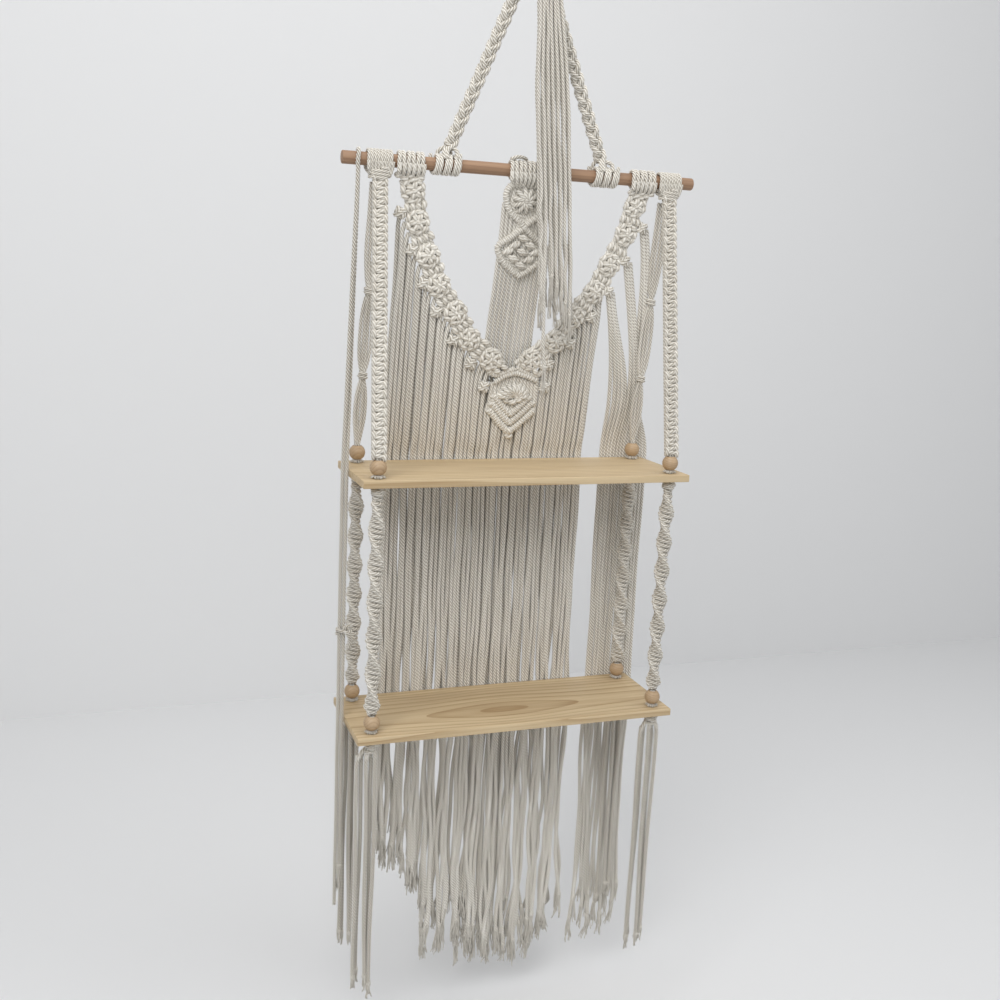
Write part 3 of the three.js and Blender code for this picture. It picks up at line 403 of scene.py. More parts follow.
class CordWork:
    """Gathers cords into the mesh of one piece; plumper cords show less of their lay, as they do in tight knots, and
    a fainter painted shade between their strands. A piece's lightness shift is painted light above nought and painted
    shade below it, on all its cords.
    """

    def __init__(self, seed, plump=0.0, painted_light_shift=0.0):
        self.settings = bpy.context.scene.shelf_cord
        self.plump = plump
        self.painted_light_shift = painted_light_shift
        self.draws = np.random.default_rng(self.settings.seed * 1000 + seed)
        self.places, self.tones_and_painted_light = [], []
        self.quads, self.quad_uvs = [], []
        self.tris, self.tri_uvs = [], []
        self.count = 0

    def near(self, spread):
        """A random number within the spread"""
        return float(self.draws.uniform(-spread, spread))

    def tube(self, path, radii, outline, twist, tone):
        """A closed tube whose rings have the outline and turn with the twist"""
        sides = len(outline)
        rings = len(path)
        along = travelled(path)
        normals, sideways = path_frames(path)
        angle = TURN * np.arange(sides) / sides + (twist * along)[:, None]
        reach = np.broadcast_to(radii, (rings,))[:, None] * outline
        ring = path[:, None, :] + (reach * np.cos(angle))[:, :, None] * normals[:, None, :]
        ring = ring + (reach * np.sin(angle))[:, :, None] * sideways[:, None, :]
        first = self.count
        self.places.append(np.concatenate([ring.reshape(-1, 3), path[:1], path[-1:]]))
        self.tones_and_painted_light.append(np.full(rings * sides + 2, tone))
        self.count += rings * sides + 2
        k, j = (grid.ravel() for grid in np.meshgrid(np.arange(rings - 1), np.arange(sides), indexing="ij"))
        nxt = (j + 1) % sides
        corners = [k * sides + j, k * sides + nxt, (k + 1) * sides + nxt, (k + 1) * sides + j]
        self.quads.append(first + np.stack(corners, axis=1))
        u0, u1 = along[k] / self.settings.lay, along[k + 1] / self.settings.lay
        v0, v1 = j / sides, (j + 1) / sides
        self.quad_uvs.append(np.stack([u0, v0, u0, v1, u1, v1, u1, v0], axis=1).reshape(-1, 4, 2))
        j = np.arange(sides)
        nxt = (j + 1) % sides
        last = first + (rings - 1) * sides
        bottom = np.full(sides, first + rings * sides)
        self.tris += [np.stack([first + nxt, first + j, bottom], axis=1)]
        self.tris += [np.stack([last + j, last + nxt, bottom + 1], axis=1)]
        self.tri_uvs += [np.stack([j * 0, j / sides] * 3, axis=1).reshape(-1, 3, 2)] * 2

    def lay(self, path, thickness=5.0, fine=1, fray=0.0, loose=2.4):
        """A laid cord along evenly spaced points, coming apart into its yarns over its last stretch"""
        # Each cord gets a random lightness plus the piece's lightness shift, which is painted light and shade
        tone = self.draws.uniform(0, 1) + self.painted_light_shift
        radius = thickness / 2
        valley = self.settings.valley + (0.90 - self.settings.valley) * self.plump
        share = np.arange(2 * STRANDS * fine) / (2 * fine)
        outline = 1 - (1 - valley) * (0.5 - 0.5 * np.cos(TURN * share))
        start = self.draws.uniform(0, TURN)
        if fray > 0:
            back = max(2, int(fray / np.linalg.norm(path[1] - path[0])))
            self.unlay(path[len(path) - back - 3 :], radius, tone, start, loose)
            path = path[: len(path) - back + 1]
        self.tube(path, radius, outline, -TURN / self.settings.lay, tone)

    def unlay(self, path, radius, tone, start, loose):
        """The cord's yarns, loose and wavy, from where it comes apart to its cut end"""
        path = even_path(path, 3.2)
        normals, sideways = path_frames(path)
        share = np.linspace(0, 1, len(path))[:, None]
        for yarn in range(YARNS):
            draw = self.draws.uniform(0, 1, 5)
            wave = 0.5 * np.sin((4 + 4 * draw[1]) * share + yarn)
            turn = start + TURN * yarn / YARNS + (draw[0] - 0.5) * 2.4 * share + wave
            laid = radius * (0.35 + 0.5 * (yarn % 2)) * (1 - share)
            spread = laid + (0.4 + (loose - 0.4) * draw[2]) * radius * share**1.4
            route = path + spread * (np.cos(turn) * normals + np.sin(turn) * sideways)
            keep = max(4, len(route) - int(draw[3] * 4))
            radii = radius * np.linspace(0.40, 0.20 + 0.08 * draw[4], keep)
            self.tube(route[:keep], radii, np.ones(4), 0.0, min(1.0, tone + 0.15))

    def cord(self, points, thickness=5.0, step=None):
        self.lay(smooth_path(points, step or self.settings.step), thickness)

    def piece(self, name, body, *nodes):
        """The finished mesh, on its body and in place of its nodes"""
        places = np.concatenate(self.places) * MM
        quads, tris = np.concatenate(self.quads), np.concatenate(self.tris)
        mesh = bpy.data.meshes.new(name)
        mesh.vertices.add(len(places))
        mesh.vertices.foreach_set("co", places.ravel())
        mesh.loops.add(quads.size + tris.size)
        mesh.loops.foreach_set("vertex_index", np.concatenate([quads.ravel(), tris.ravel()]))
        mesh.polygons.add(len(quads) + len(tris))
        starts = np.concatenate([np.arange(len(quads)) * 4, quads.size + np.arange(len(tris)) * 3])
        mesh.polygons.foreach_set("loop_start", starts)
        mesh.polygons.foreach_set("use_smooth", np.ones(len(starts), bool))
        uvs = np.concatenate([part.ravel() for part in self.quad_uvs + self.tri_uvs])
        mesh.uv_layers.new(name="lay").data.foreach_set("uv", uvs.astype(np.float32))
        for name_, values in (("tone", np.concatenate(self.tones_and_painted_light)), ("plump", np.full(len(places), self.plump))):
            mesh.attributes.new(name_, "FLOAT", "POINT").data.foreach_set("value", values.astype(np.float32))
        mesh.update(calc_edges=True)
        mesh.validate()
        piece = bpy.data.objects.new(name, mesh)
        bpy.context.scene.collection.objects.link(piece)
        mesh.materials.append(cotton())
        return finished(piece, body, "cotton_cord", *nodes)


def finished(piece, body, slot, *nodes):
    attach(piece, body)
    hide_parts(*nodes)
    return piece


def bib_point(x, drop, height=0.0):
    """A point on the slanting plane from the rod to the boards' back edges, or in front of it"""
    y = drop * math.sin(BIB_TILT) - height * math.cos(BIB_TILT)
    return np.array([x, y, ROD_Z - drop * math.cos(BIB_TILT) - height * math.sin(BIB_TILT)])


def bib_line(x, side, points, height):
    """Points on one side of x, each given as (sideways, drop), at one height above the plane"""
    return [bib_point(x + side * a, drop, height) for a, drop in points]


def behind(x, drop, layer=0.0):
    """A point on that plane down to the upper board, and straight down behind the boards below it"""
    if drop < BENCH_DROP:
        return bib_point(x, drop, -layer)
    return np.array([x, FRINGE_Y + layer, EDGE_Z - (drop - BENCH_DROP)])


def at_edge(x, layer):
    """A point just above the upper board's back edge"""
    return np.array([x, FRINGE_Y + layer, EDGE_Z + 8])


def along_line(top, bottom, local):
    """Local points (sideways, depth, distance down) put on the line from top to bottom"""
    top, bottom = np.asarray(top, float), np.asarray(bottom, float)
    down = unit(bottom - top)
    deep = np.array([0.0, 1.0, 0.0])
    deep = unit(deep - deep.dot(down) * down)
    side = np.cross(down, deep)
    if side[0] < 0:
        side = -side
    local = np.asarray(local, float)
    return top + local[:, :1] * side + local[:, 1:2] * deep + local[:, 2:] * down


# Knots
def square_knots(work, top, bottom, width, depth, pitch, thickness=5.4):
    """A flat column of square knots: short bars across the middle between two edges of full loops"""
    length = np.linalg.norm(bottom - top)
    halves = int(round(length / pitch))
    rise = length / halves
    reach = width / 2 - thickness / 2
    t = np.linspace(0, halves, halves * 18 + 1)
    down = rise * (t + 0.85 * np.sin(TURN * t) / TURN)
    cross = np.abs(np.sin(math.pi * t)) ** 0.7
    bars = [-(reach - 1.6) * np.cos(math.pi * t), depth * (0.25 - 1.25 * cross), down]
    work.lay(even_path(along_line(top, bottom, np.stack(bars, axis=1)), 1.3), thickness + 0.7)
    for k in range(halves + 1):
        side = 1 if k % 2 else -1
        out, front = side * (reach + 0.3), -depth * float(work.draws.uniform(0.95, 1.2))
        under = out - side * 1.4
        loop = [(under, 2.0, -1.02), (out, front * 0.62, -0.72), (out, front, 0)]
        loop += [(out, front * 0.62, 0.72), (under, 2.0, 1.02)]
        local = [(a, b, np.clip(rise * (k + c), -1.5, length + 1.5)) for a, b, c in loop]
        work.cord(along_line(top, bottom, local), thickness + 0.3, 1.4)
    for x, y in ((-6.2, 1.0), (-2.1, 0.8), (2.1, 0.8), (6.2, 1.0)):
        work.cord(along_line(top, bottom, [[x, y, 0], [x, y, length]]), thickness)


def spiral_knots(work, top, bottom, reach, depth, pitch, turn, thickness=5.7, taper=8.0):
    """A left-handed spiral of half knots: level rungs between the two ridges that their ends make"""
    length = np.linalg.norm(np.subtract(bottom, top))

    def place(x, y, down):
        angle = TURN * down / turn
        local = [x * np.cos(angle) - y * np.sin(angle), x * np.sin(angle) + y * np.cos(angle), down]
        return even_path(along_line(top, bottom, np.stack(local, axis=1)), 1.3)

    halves = int(round(length / pitch))
    t = np.linspace(0, halves, halves * 16 + 1)
    down = length / halves * (t + 0.8 * np.sin(TURN * t) / TURN)
    edge = np.clip(np.minimum(down, length - down) / taper, 0.55, 1)
    for side in (-1, 1):
        across, deep = (reach - 1.5) * np.cos(math.pi * t), depth * np.sin(math.pi * t)
        work.lay(place(side * across * edge, side * deep * edge, down), thickness)
    down = np.linspace(0, length, int(length / 2))
    edge = np.clip(np.minimum(down, length - down) / taper, 0.5, 1)
    for side in (-1, 1):
        ridge = (reach - 0.7) * edge + 1.0 * np.sin(TURN * down / pitch + side)
        work.lay(place(side * ridge, 0 * down, down), thickness - 0.4)
    for x in (-1.8, 1.8):
        work.cord(along_line(top, bottom, [[x, 0, 0], [x, 0, length]]), thickness)


def coil(work, centre, reach_x, reach_y, turns, pitch, thickness, start=0.0):
    """A cord wound flat round a vertical bundle, from the top down"""
    angle = np.linspace(0, TURN * turns, int(turns * 28) + 1)
    height = pitch * (turns / 2 - angle / TURN)
    points = np.stack([reach_x * np.sin(angle + start), -reach_y * np.cos(angle + start), height], axis=1)
    work.lay(even_path(points + np.asarray(centre, float), 1.4), thickness)


def line_coil(work, line, reach, pitch, thickness, squash=0.7, face=None):
    """A cord wound along a line in close turns, as hitches sit side by side on their core"""
    path = smooth_path(line, 0.6)
    along = travelled(path)
    ahead = unit(np.gradient(path, axis=0))
    side = unit(np.cross(ahead, face or (0.0, -math.cos(BIB_TILT), -math.sin(BIB_TILT))))
    angle = (TURN * along / pitch)[:, None]
    points = path + reach * (np.cos(angle) * side + squash * np.sin(angle) * np.cross(side, ahead))
    work.lay(even_path(points, 1.3), thickness)


def winding(work, x, turns, back_first, spread, pitch, thickness):
    """Close turns round the rod, drawn together in pairs, as loops of cord sit on it"""
    angle = np.linspace(0, TURN * turns, int(turns * 32) + 1)
    across = pitch * (angle / TURN - turns / 2) + spread * np.sin(angle / 2)
    sign = -1 if back_first else 1
    y, z = -sign * WRAP_R * np.cos(angle), sign * WRAP_R * np.sin(angle)
    low = -sign * (WRAP_R + CORD_R)
    points = [[[across[0], y[0], low]], np.stack([across, y, z], axis=1), [[across[-1], y[-1], low]]]
    work.lay(even_path(np.concatenate(points) + [x, 0, ROD_Z], 1.4), thickness, fine=2)


def off_rod(work, x, width, end, count, knee, sign=-1, thickness=5.2):
    """Cords that come off the rod side by side; end gives a cord's end from its share of the width"""
    narrow, knee_y, knee_drop = knee
    for k in range(count):
        share = k / (count - 1) - 0.5
        start = (x + share * width, sign * LEAVE_Y, ROD_Z - LEAVE_DROP)
        bend = (x + share * width * narrow, sign * knee_y, ROD_Z - knee_drop)
        work.cord([start, bend, end(share)], thickness)


def through_board(work, x, y, top_z, up, thickness=4.0):
    """Four cords down through a bead and its board, and the fluff under the bead; up is where they start"""
    for k in range(4):
        angle = TURN * (k + 0.5) / 4
        c, s = math.cos(angle), math.sin(angle)
        steps = ((2.2, up), (2.2, BEAD_TOP - 2), (2.3, BEAD_LIFT + 1.5), (3.4, 1.9), (2.4, -2))
        steps += ((2.3, -BOARD_THICKNESS), (2.3, -BOARD_THICKNESS - 6))
        work.cord([(x + r * c, y + r * s, top_z + h) for r, h in steps if h <= up], thickness, 1.5)
    for k in range(30):
        draw = work.draws.uniform(0, 1, 3)
        angle = TURN * (k + draw[0]) / 30
        c, s = math.cos(angle), math.sin(angle)
        out = 6.0 + 3.0 * draw[1]
        arc = [(2.6, BEAD_LIFT + 2.4), (3.9, BEAD_LIFT - 0.2)]
        arc += [(out * 0.85, 1.9 + draw[2]), (out, 0.9 + 0.8 * draw[2])]
        path = smooth_path([(x + r * c, y + r * s, top_z + h) for r, h in arc], 1.1)
        # The fluff gets the top of the cords' random lightness, as painted light against the shade in the gap under
        # the bead
        work.tube(path, np.linspace(0.95, 0.5, len(path)), np.ones(4), 0.0, 1.0)


def stop_knot(work, x, y, board_z, turns=2.6, crossings=3):
    """The round knot that holds a board up from below"""
    z = board_z - BOARD_THICKNESS - 0.3 - 6.2

    def round_knot(angle, reach, height):
        return np.stack([x + reach * np.sin(angle), y - reach * np.cos(angle), z + height], axis=1)

    angle = np.linspace(0, TURN * turns, int(turns * 28) + 1)
    height = 3.6 * (turns / 2 - angle / TURN)
    work.lay(even_path(round_knot(angle, 5.9 - 0.055 * height**2, height), 1.3), 5.0)
    for k in range(crossings):
        sweep = TURN * (k + 0.15) / crossings + np.linspace(0, 1.9, 7)
        rise = np.linspace(4.0, -4.0, 7)
        work.cord(round_knot(sweep, 7.4 - 0.13 * rise**2, rise), 4.6, 1.3)


def arch(work, x, drop, angle, width, height, base, thickness):
    """A short cord that rises from the plane, passes over and goes back in"""
    t = np.linspace(0, math.pi, 9)
    out = -np.cos(t) * width / 2
    up = base + np.sin(t) ** 0.7 * height
    c, s = math.cos(angle), math.sin(angle)
    work.cord([bib_point(x + o * c, drop + o * s, h) for o, h in zip(out, up)], thickness, 1.3)


def pearl(work, x, drop, angle, base, thickness=7.0, width=5.0, height=3.2):
    """One round bump of a knot, a little off its place as hand-tied ones are"""
    off = work.draws.uniform(-1, 1, 4)
    turn = angle + 0.35 * off[2]
    arch(work, x + 0.5 * off[0], drop + 0.5 * off[1], turn, width, height, base + 0.3 * off[3], thickness)


def flower(work, x, drop, base, start):
    """A puffy middle knot in two rings of smaller ones"""
    for count, reach, lift, lean in ((9, 12.0, 0.0, math.pi / 2), (6, 5.6, 1.5, 0.3)):
        for k in range(count):
            angle = TURN * (k + 0.5) / count + start
            pearl(work, x + reach * math.cos(angle), drop + reach * math.sin(angle), angle + lean, base + lift)
    pearl(work, x, drop, start, base + 2.8, 6.0, 3.4)


def berry(work, x, drop, base, size=4.2):
    """A small knot with four bumps"""
    for k in range(4):
        angle = TURN * (k + 0.5) / 4
        pearl(work, x + size * math.cos(angle), drop + size * math.sin(angle), angle + 0.9, base, 6.6, 4.8, 3.0)
    pearl(work, x, drop, 0.4, base + 1.8, 6.0, 3.8, 2.6)


def corners():
    """Each corner's name, its hole's place, and a number that sets its random draws apart"""
    for depth, y in HOLE_Y.items():
        for label, side in SIDES.items():
            yield f"{depth}_{label}", side * HOLE_X, y, side + (4 if depth == "back" else 0)


# Wooden pieces
def pick(piece):
    """Only this piece is selected and active"""
    bpy.ops.object.select_all(action="DESELECT")
    piece.select_set(True)
    bpy.context.view_layer.objects.active = piece


def bore(piece, place, depth):
    """Drill straight down through a piece"""
    bpy.ops.object.select_all(action="DESELECT")
    bpy.ops.mesh.primitive_cylinder_add(vertices=32, radius=BORE_R * MM, depth=depth, location=place)
    drill = bpy.context.object
    cut = piece.modifiers.new("hole", "BOOLEAN")
    cut.operation = "DIFFERENCE"
    cut.object = drill
    pick(piece)
    bpy.ops.object.modifier_apply(modifier=cut.name)
    bpy.data.objects.remove(drill)


def ease(piece, width, segments, sharp, smooth):
    """Ease the edges that are sharper than an angle, and shade the flatter ones smooth"""
    pick(piece)
    bevel = piece.modifiers.new("eased", "BEVEL")
    bevel.width = width
    bevel.segments = segments
    bevel.limit_method = "ANGLE"
    bevel.angle_limit = math.radians(sharp)
    bpy.ops.object.modifier_apply(modifier=bevel.name)
    bpy.ops.object.shade_smooth_by_angle(angle=math.radians(smooth))


def wooden(piece, body, slot, material, node):
    piece.name = piece.data.name = f"{node}_wood"
    piece.data.materials.clear()
    piece.data.materials.append(material)
    finished(piece, body, slot, node)


# Operators
class SHELF_OT_camera(bpy.types.Operator):
    """Add the camera at the photograph's place"""

    bl_idname = "shelf.camera"
    bl_label = "Camera"

    def execute(self, context):
        data = bpy.data.cameras.new("camera")
        data.sensor_fit = "HORIZONTAL"
        data.sensor_width = 36
        data.lens = context.scene.shelf_stage.lens
        data.clip_end = 50
        camera = bpy.data.objects.new("camera", data)
        yaw, pitch, roll = CAMERA_TURNS
        ahead = Vector((math.sin(yaw) * math.cos(pitch), math.cos(yaw) * math.cos(pitch), math.sin(pitch)))
        level = Vector((math.cos(yaw), -math.sin(yaw), 0))
        upright = level.cross(ahead)
        right = math.cos(roll) * level + math.sin(roll) * upright
        up = -math.sin(roll) * level + math.cos(roll) * upright
        turn = Matrix((right, up, -ahead)).transposed().to_4x4()
        camera.matrix_world = Matrix.Translation(Vector(CAMERA_PLACE) * MM) @ turn
        context.scene.collection.objects.link(camera)
        context.scene.camera = camera
        return {"FINISHED"}


class SHELF_OT_stage(bpy.types.Operator):
    """Add the light grey floor and backdrop and the soft lights"""

    bl_idname = "shelf.stage"
    bl_label = "Stage"

    def execute(self, context):
        settings = context.scene.shelf_stage
        s = Shader("stage_paper", 0.9)
        s.feed(s.surface.inputs["Base Color"], tuple(settings.floor))
        # The backs of the floor and the wall are clear, so they hide nothing in a view from behind or below
        back = s.node("ShaderNodeNewGeometry", None, None, "Backfacing")
        clear = s.node("ShaderNodeBsdfTransparent")
        paper = s.node("ShaderNodeMixShader", None, {0: back, 1: Value(s, s.surface.outputs[0]), 2: clear})
        s.feed(s.tree.nodes["Material Output"].inputs["Surface"], paper)
        sheets = (
            ("stage_floor", (0, 0, CAD_BOX[0][2] - 0.06), 0, (14, 14, 1)),
            ("stage_wall", (0, 1.3, 1.6), math.pi / 2, (14, 8, 1)),
        )
        for name, place, tilt, size in sheets:
            bpy.ops.object.select_all(action="DESELECT")
            bpy.ops.mesh.primitive_plane_add(size=1, location=place, rotation=(tilt, 0, 0))
            sheet = context.object
            sheet.name = name
            sheet.scale = size
            bpy.ops.object.transform_apply(location=True, rotation=True, scale=True)
            sheet.data.materials.append(s.material)
        lamps = (
            ("key", (-1.2, -1.65, 1.1), -0.3, 1.6, 1),
            ("fill", (1.9, -1.4, 0.8), -0.5, 1.8, 0.36),
            ("top", (0.2, -0.4, 1.5), -0.7, 1.3, 0.30),
        )
        for name, place, target_z, size, share in lamps:
            data = bpy.data.lights.new(name, "AREA")
            data.size = size
            data.energy = settings.key * share
            lamp = bpy.data.objects.new(name, data)
            lamp.location = place
            lamp.rotation_euler = (Vector((0, 0, target_z)) - Vector(place)).to_track_quat("-Z", "Y").to_euler()
            context.scene.collection.objects.link(lamp)
        world = bpy.data.worlds.new("soft_room")
        world.use_nodes = True
        sky = world.node_tree.nodes["Background"].inputs
        sky["Color"].default_value = (0.95, 0.97, 1, 1)
        sky["Strength"].default_value = 0.40
        context.scene.world = world
        context.scene.view_settings.view_transform = "Standard"
        return {"FINISHED"}


class SHELF_OT_boards(bpy.types.Operator):
    """Model the two pine boards, with eased edges and a hole near each corner"""

    bl_idname = "shelf.boards"
    bl_label = "Boards"

    def execute(self, context):
        for node, (body, ring, heart, lean, oval) in BOARDS.items():
            low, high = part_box(node)
            middle = (low + high) / 2
            bpy.ops.object.select_all(action="DESELECT")
            bpy.ops.mesh.primitive_cube_add(size=1, location=middle)
            board = context.object
            board.scale = high - low
            bpy.ops.object.transform_apply(location=True, rotation=False, scale=True)
            for side in SIDES.values():
                for y in HOLE_Y.values():
                    bore(board, (side * HOLE_X * MM, y * MM, middle.z), (high.z - low.z) * 2)
            ease(board, context.scene.shelf_wood.bevel, 3, 30, 32)
            wooden(board, body, "pine", wood(f"pine_{node}", "pine", ring, heart, lean, 0.62, **oval), node)
        return {"FINISHED"}


class SHELF_OT_rod(bpy.types.Operator):
    """Model the beech rod with its eased ends"""

    bl_idname = "shelf.rod"
    bl_label = "Rod"

    def execute(self, context):
        low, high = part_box("dowel_rod")
        how = {"location": (low + high) / 2, "rotation": (0, math.pi / 2, 0)}
        bpy.ops.object.select_all(action="DESELECT")
        bpy.ops.mesh.primitive_cylinder_add(vertices=48, radius=ROD_R * MM, depth=high.x - low.x, **how)
        rod = context.object
        bpy.ops.object.transform_apply(location=True, rotation=True, scale=True)
        ease(rod, 0.0011, 3, 50, 35)
        wooden(rod, "hanger", "beech", wood("beech_rod", "rod", 0.0031, (0.011, -0.3), 0.01, 0.55), "dowel_rod")
        return {"FINISHED"}


class SHELF_OT_beads(bpy.types.Operator):
    """Model one bored bead and set a copy over each hole of the boards"""

    bl_idname = "shelf.beads"
    bl_label = "Beads"

    def execute(self, context):
        bpy.ops.object.select_all(action="DESELECT")
        bpy.ops.mesh.primitive_uv_sphere_add(segments=32, ring_count=16, radius=BEAD_R * MM, location=(0, 0, 0))
        pattern = context.object
        bore(pattern, (0, 0, 0), 0.04)
        ease(pattern, 0.0005, 2, 40, 35)
        turn = 0
        for level, board_z, body in (("upper", UPPER_Z, "shelf"), ("lower", LOWER_Z, "lower_shelf")):
            for corner, x, y, _ in corners():
                node = f"{level}_{corner}_bead"
                mesh = pattern.data.copy()
                mesh.transform(Matrix.Rotation(turn, 4, "Z"))
                height = board_z + BEAD_LIFT + BEAD_HEIGHT / 2
                mesh.transform(Matrix.Translation(Vector((x, y, height)) * MM))
                bead = bpy.data.objects.new(node, mesh)
                context.scene.collection.objects.link(bead)
                heart = (y * MM + 0.006, height * MM - 0.014)
                wooden(bead, body, "beech", wood(f"beech_{node}", "bead", 0.0026, heart, 0.1, 0.5), node)
                turn += 0.9
        bpy.data.objects.remove(pattern)
        return {"FINISHED"}


class SHELF_OT_hanging_loop(bpy.types.Operator):
    """Wrap the hanging loop and the knot under it"""

    bl_idname = "shelf.hanging_loop"
    bl_label = "Hanging loop and knot"

    def execute(self, context):
        work = CordWork(1)
        line = [(-5.2, 0, -26), (-5.2, 0, -20.6), (-9.5, 0, -10), (-7.03, 0, 0.8), (0, 0, 4.0)]
        line += [(-x, y, z) for x, y, z in reversed(line[:-1])]
        work.cord(line, 4.6, 1.4)
        line_coil(work, line, 2.35, 4.3, 4.0, 1.0, (0, -1, 0.001))
        work.piece("wrapped_loop", "hang_loop", "hang_loop")
        work = CordWork(2)
        coil(work, (0, 0, -37), 10.6, 10.6, 4.3, 4.9, 5.0)
        for k in range(7):
            angle = TURN * k / 7
            x, y = 6.2 * math.cos(angle), 6.2 * math.sin(angle)
            work.cord([(x * 0.6, y * 0.6, -25.5), (x, y, -32), (x, y, -41), (x * 0.86, y * 0.8, -48.6)], 5)
        work.piece("gathering_knot", "knot", "top_knot")
        return {"FINISHED"}


class SHELF_OT_braids(bpy.types.Operator):
    """Plait the two braids, with their cords spread round the rod at the foot"""

    bl_idname = "shelf.braids"
    bl_label = "Braids"

    def plait(self, work, x, side):
        top = (side * 7.5, 0, -52.4)
        bottom = (side * (BRAID_X["right"] - 6), 0, ROD_Z + 24)
        length = np.linalg.norm(np.subtract(bottom, top))
        turns = length / BRAID_STEP
        t = np.linspace(0, TURN * turns, int(turns * 60))
        down = np.linspace(0, length, len(t))
        for k in range(6):
            strand, twin = k // 2, k % 2
            pair = 1 if twin else -1
            phase = t + TURN * strand / 3
            across = 5.6 * np.sin(phase) + pair * 2.3 * np.cos(phase) ** 2
            deep = 3.0 * np.sin(2 * phase) + pair * 1.2 * np.sin(phase)
            path = along_line(top, bottom, np.stack([across, deep, down], axis=1))
            foot_x = x - side * 2 + (strand * 2 + twin - 2.5) * 3.9
            front = -1 if (strand + twin) % 2 else 1
            foot = [(foot_x, front * 6.4, ROD_Z + 15), (foot_x, front * 9.6, ROD_Z + 6)]
            work.cord(np.concatenate([path[: -1 : max(1, len(path) // 40)], [path[-1]], foot]), 5.7)

    def execute(self, context):
        for label, side in SIDES.items():
            work = CordWork(10 + side)
            self.plait(work, BRAID_X[label], side)
            work.piece(f"{label}_plait", "hanger", f"{label}_braid")
        return {"FINISHED"}


class SHELF_OT_windings(bpy.types.Operator):
    """Wind the cords that hold the knots to the rod"""

    bl_idname = "shelf.windings"
    bl_label = "Windings"

    def execute(self, context):
        groups = (
            ("braid", BRAID_X, "hanger", (5.5, True, 0.55, WRAP_PITCH, 5.2)),
            ("arm", ARM_X, "fringe", (5.5, False, 0.85, WRAP_PITCH, 5.3)),
            ("sling", SLING_X, "shelf", (7.5, False, 0.1, 3.75, 4.3)),
        )
        for kind, places, body, how in groups:
            for label, x in places.items():
                work = CordWork(20 + int(x))
                winding(work, x, *how)
                work.piece(f"{label}_{kind}_winding", body, f"{label}_{kind}_hitch")
        work = CordWork(19)
        winding(work, BIB_X, 9.5, False, 0.45, WRAP_PITCH, 5.2)
        over = ((-27, -5, 12.5), (-18, -4, 15.5), (-6, 1, 14.5), (0, 9, 9))
        work.cord([(BIB_X + x, y, ROD_Z + z) for x, y, z in over], 5.0)
        work.piece("centre_winding", "fringe", "centre_hitch")
        return {"FINISHED"}


class SHELF_OT_front_slings(bpy.types.Operator):
    """Knot the two front slings, from the rod through the upper board"""

    bl_idname = "shelf.front_slings"
    bl_label = "Front slings"

    def execute(self, context):
        knee = (0.96, 9.4, 8.5)
        y = HOLE_Y["front"]
        for label, side in SIDES.items():
            # These cords are darkened as painted shade
            work = CordWork(30 + side, 0.5, -0.5)
            x, hole_x = SLING_X[label], side * HOLE_X
            off_rod(work, x, 29, lambda share: (x + share * 23, -8.0, ROD_Z - 17), 8, knee, -1, 4.4)
            off_rod(work, x, 28, lambda share: (x + share * 14, -2.5, ROD_Z - 19), 5, knee, 1, 4.6)
            coil(work, (x, -4.6, ROD_Z - 15.5), 12.0, 6.6, 3.1, 3.6, 4.3)
            top, bottom = (x, -5.6, ROD_Z - 20), (hole_x, y, UPPER_Z + BEAD_TOP + 1.5)
            square_knots(work, np.array(top), np.array(bottom), 17.8, 3.8, 5.3)
            through_board(work, hole_x, y, UPPER_Z, BEAD_TOP + 5)
            stop_knot(work, hole_x, y, UPPER_Z)
            work.piece(f"front_{label}_knotted_sling", "shelf", f"front_{label}_sling")
        return {"FINISHED"}


class SHELF_OT_back_slings(bpy.types.Operator):
    """Run the two back slings' plain cords, each tied twice, from the rod through the upper board"""

    bl_idname = "shelf.back_slings"
    bl_label = "Back slings"

    def execute(self, context):
        stations = (0, 0.1, 0.3, 0.38, 0.42, 0.56, 0.71, 0.75, 0.88, 1)
        widths = (1, 1, 0.9, 0.34, 0.34, 1, 0.34, 0.34, 0.95, 0.3)
        crossed = (4, 5, 6)
        y = HOLE_Y["back"]
        for label, side in SIDES.items():
            work = CordWork(40 + side)
            hole_x = side * HOLE_X
            top = np.array([SLING_X[label], 6.0, ROD_Z - 24.9])
            bottom = np.array([hole_x, y, UPPER_Z + BEAD_TOP + 3])
            length = np.linalg.norm(bottom - top)
            for k in range(4):
                local = []
                for i, (share, width) in enumerate(zip(stations, widths)):
                    spot = 3 - k if i in crossed else k
                    local.append(((spot - 1.5) * 4.6 * width, work.near(0.5) + (k % 2) * 0.8, share * length))
                work.cord(along_line(top, bottom, local), 4.6)
            for share in (0.4, 0.73):
                coil(work, top + (bottom - top) * share, 4.6, 3.6, 1.8, 4.0, 4.6, share * 7)
            through_board(work, hole_x, y, UPPER_Z, BEAD_TOP + 4)
            stop_knot(work, hole_x, y, UPPER_Z)
            work.piece(f"back_{label}_plain_sling", "shelf", f"back_{label}_sling")
        return {"FINISHED"}


class SHELF_OT_spirals(bpy.types.Operator):
    """Knot the four spirals between the boards"""

    bl_idname = "shelf.spirals"
    bl_label = "Spirals"

    def execute(self, context):
        top_z = UPPER_Z + KNOT_BOTTOM - PIVOT_DROP + 3.5
        bottom_z = LOWER_Z + BEAD_TOP + PIVOT_DROP - 0.6
        for corner, x, y, number in corners():
            # The spirals' cords are darkened as painted shade
            work = CordWork(50 + number, 0.35, -0.6)
            turn = 88 if corner == "front_left" else 76
            spiral_knots(work, (x, y, top_z), (x, y, bottom_z), 8.2, 3.6, 6.4, turn)
            work.piece(f"{corner}_twisted_sling", f"{corner.split('_')[0]}_ropes", f"{corner}_spiral")
        return {"FINISHED"}


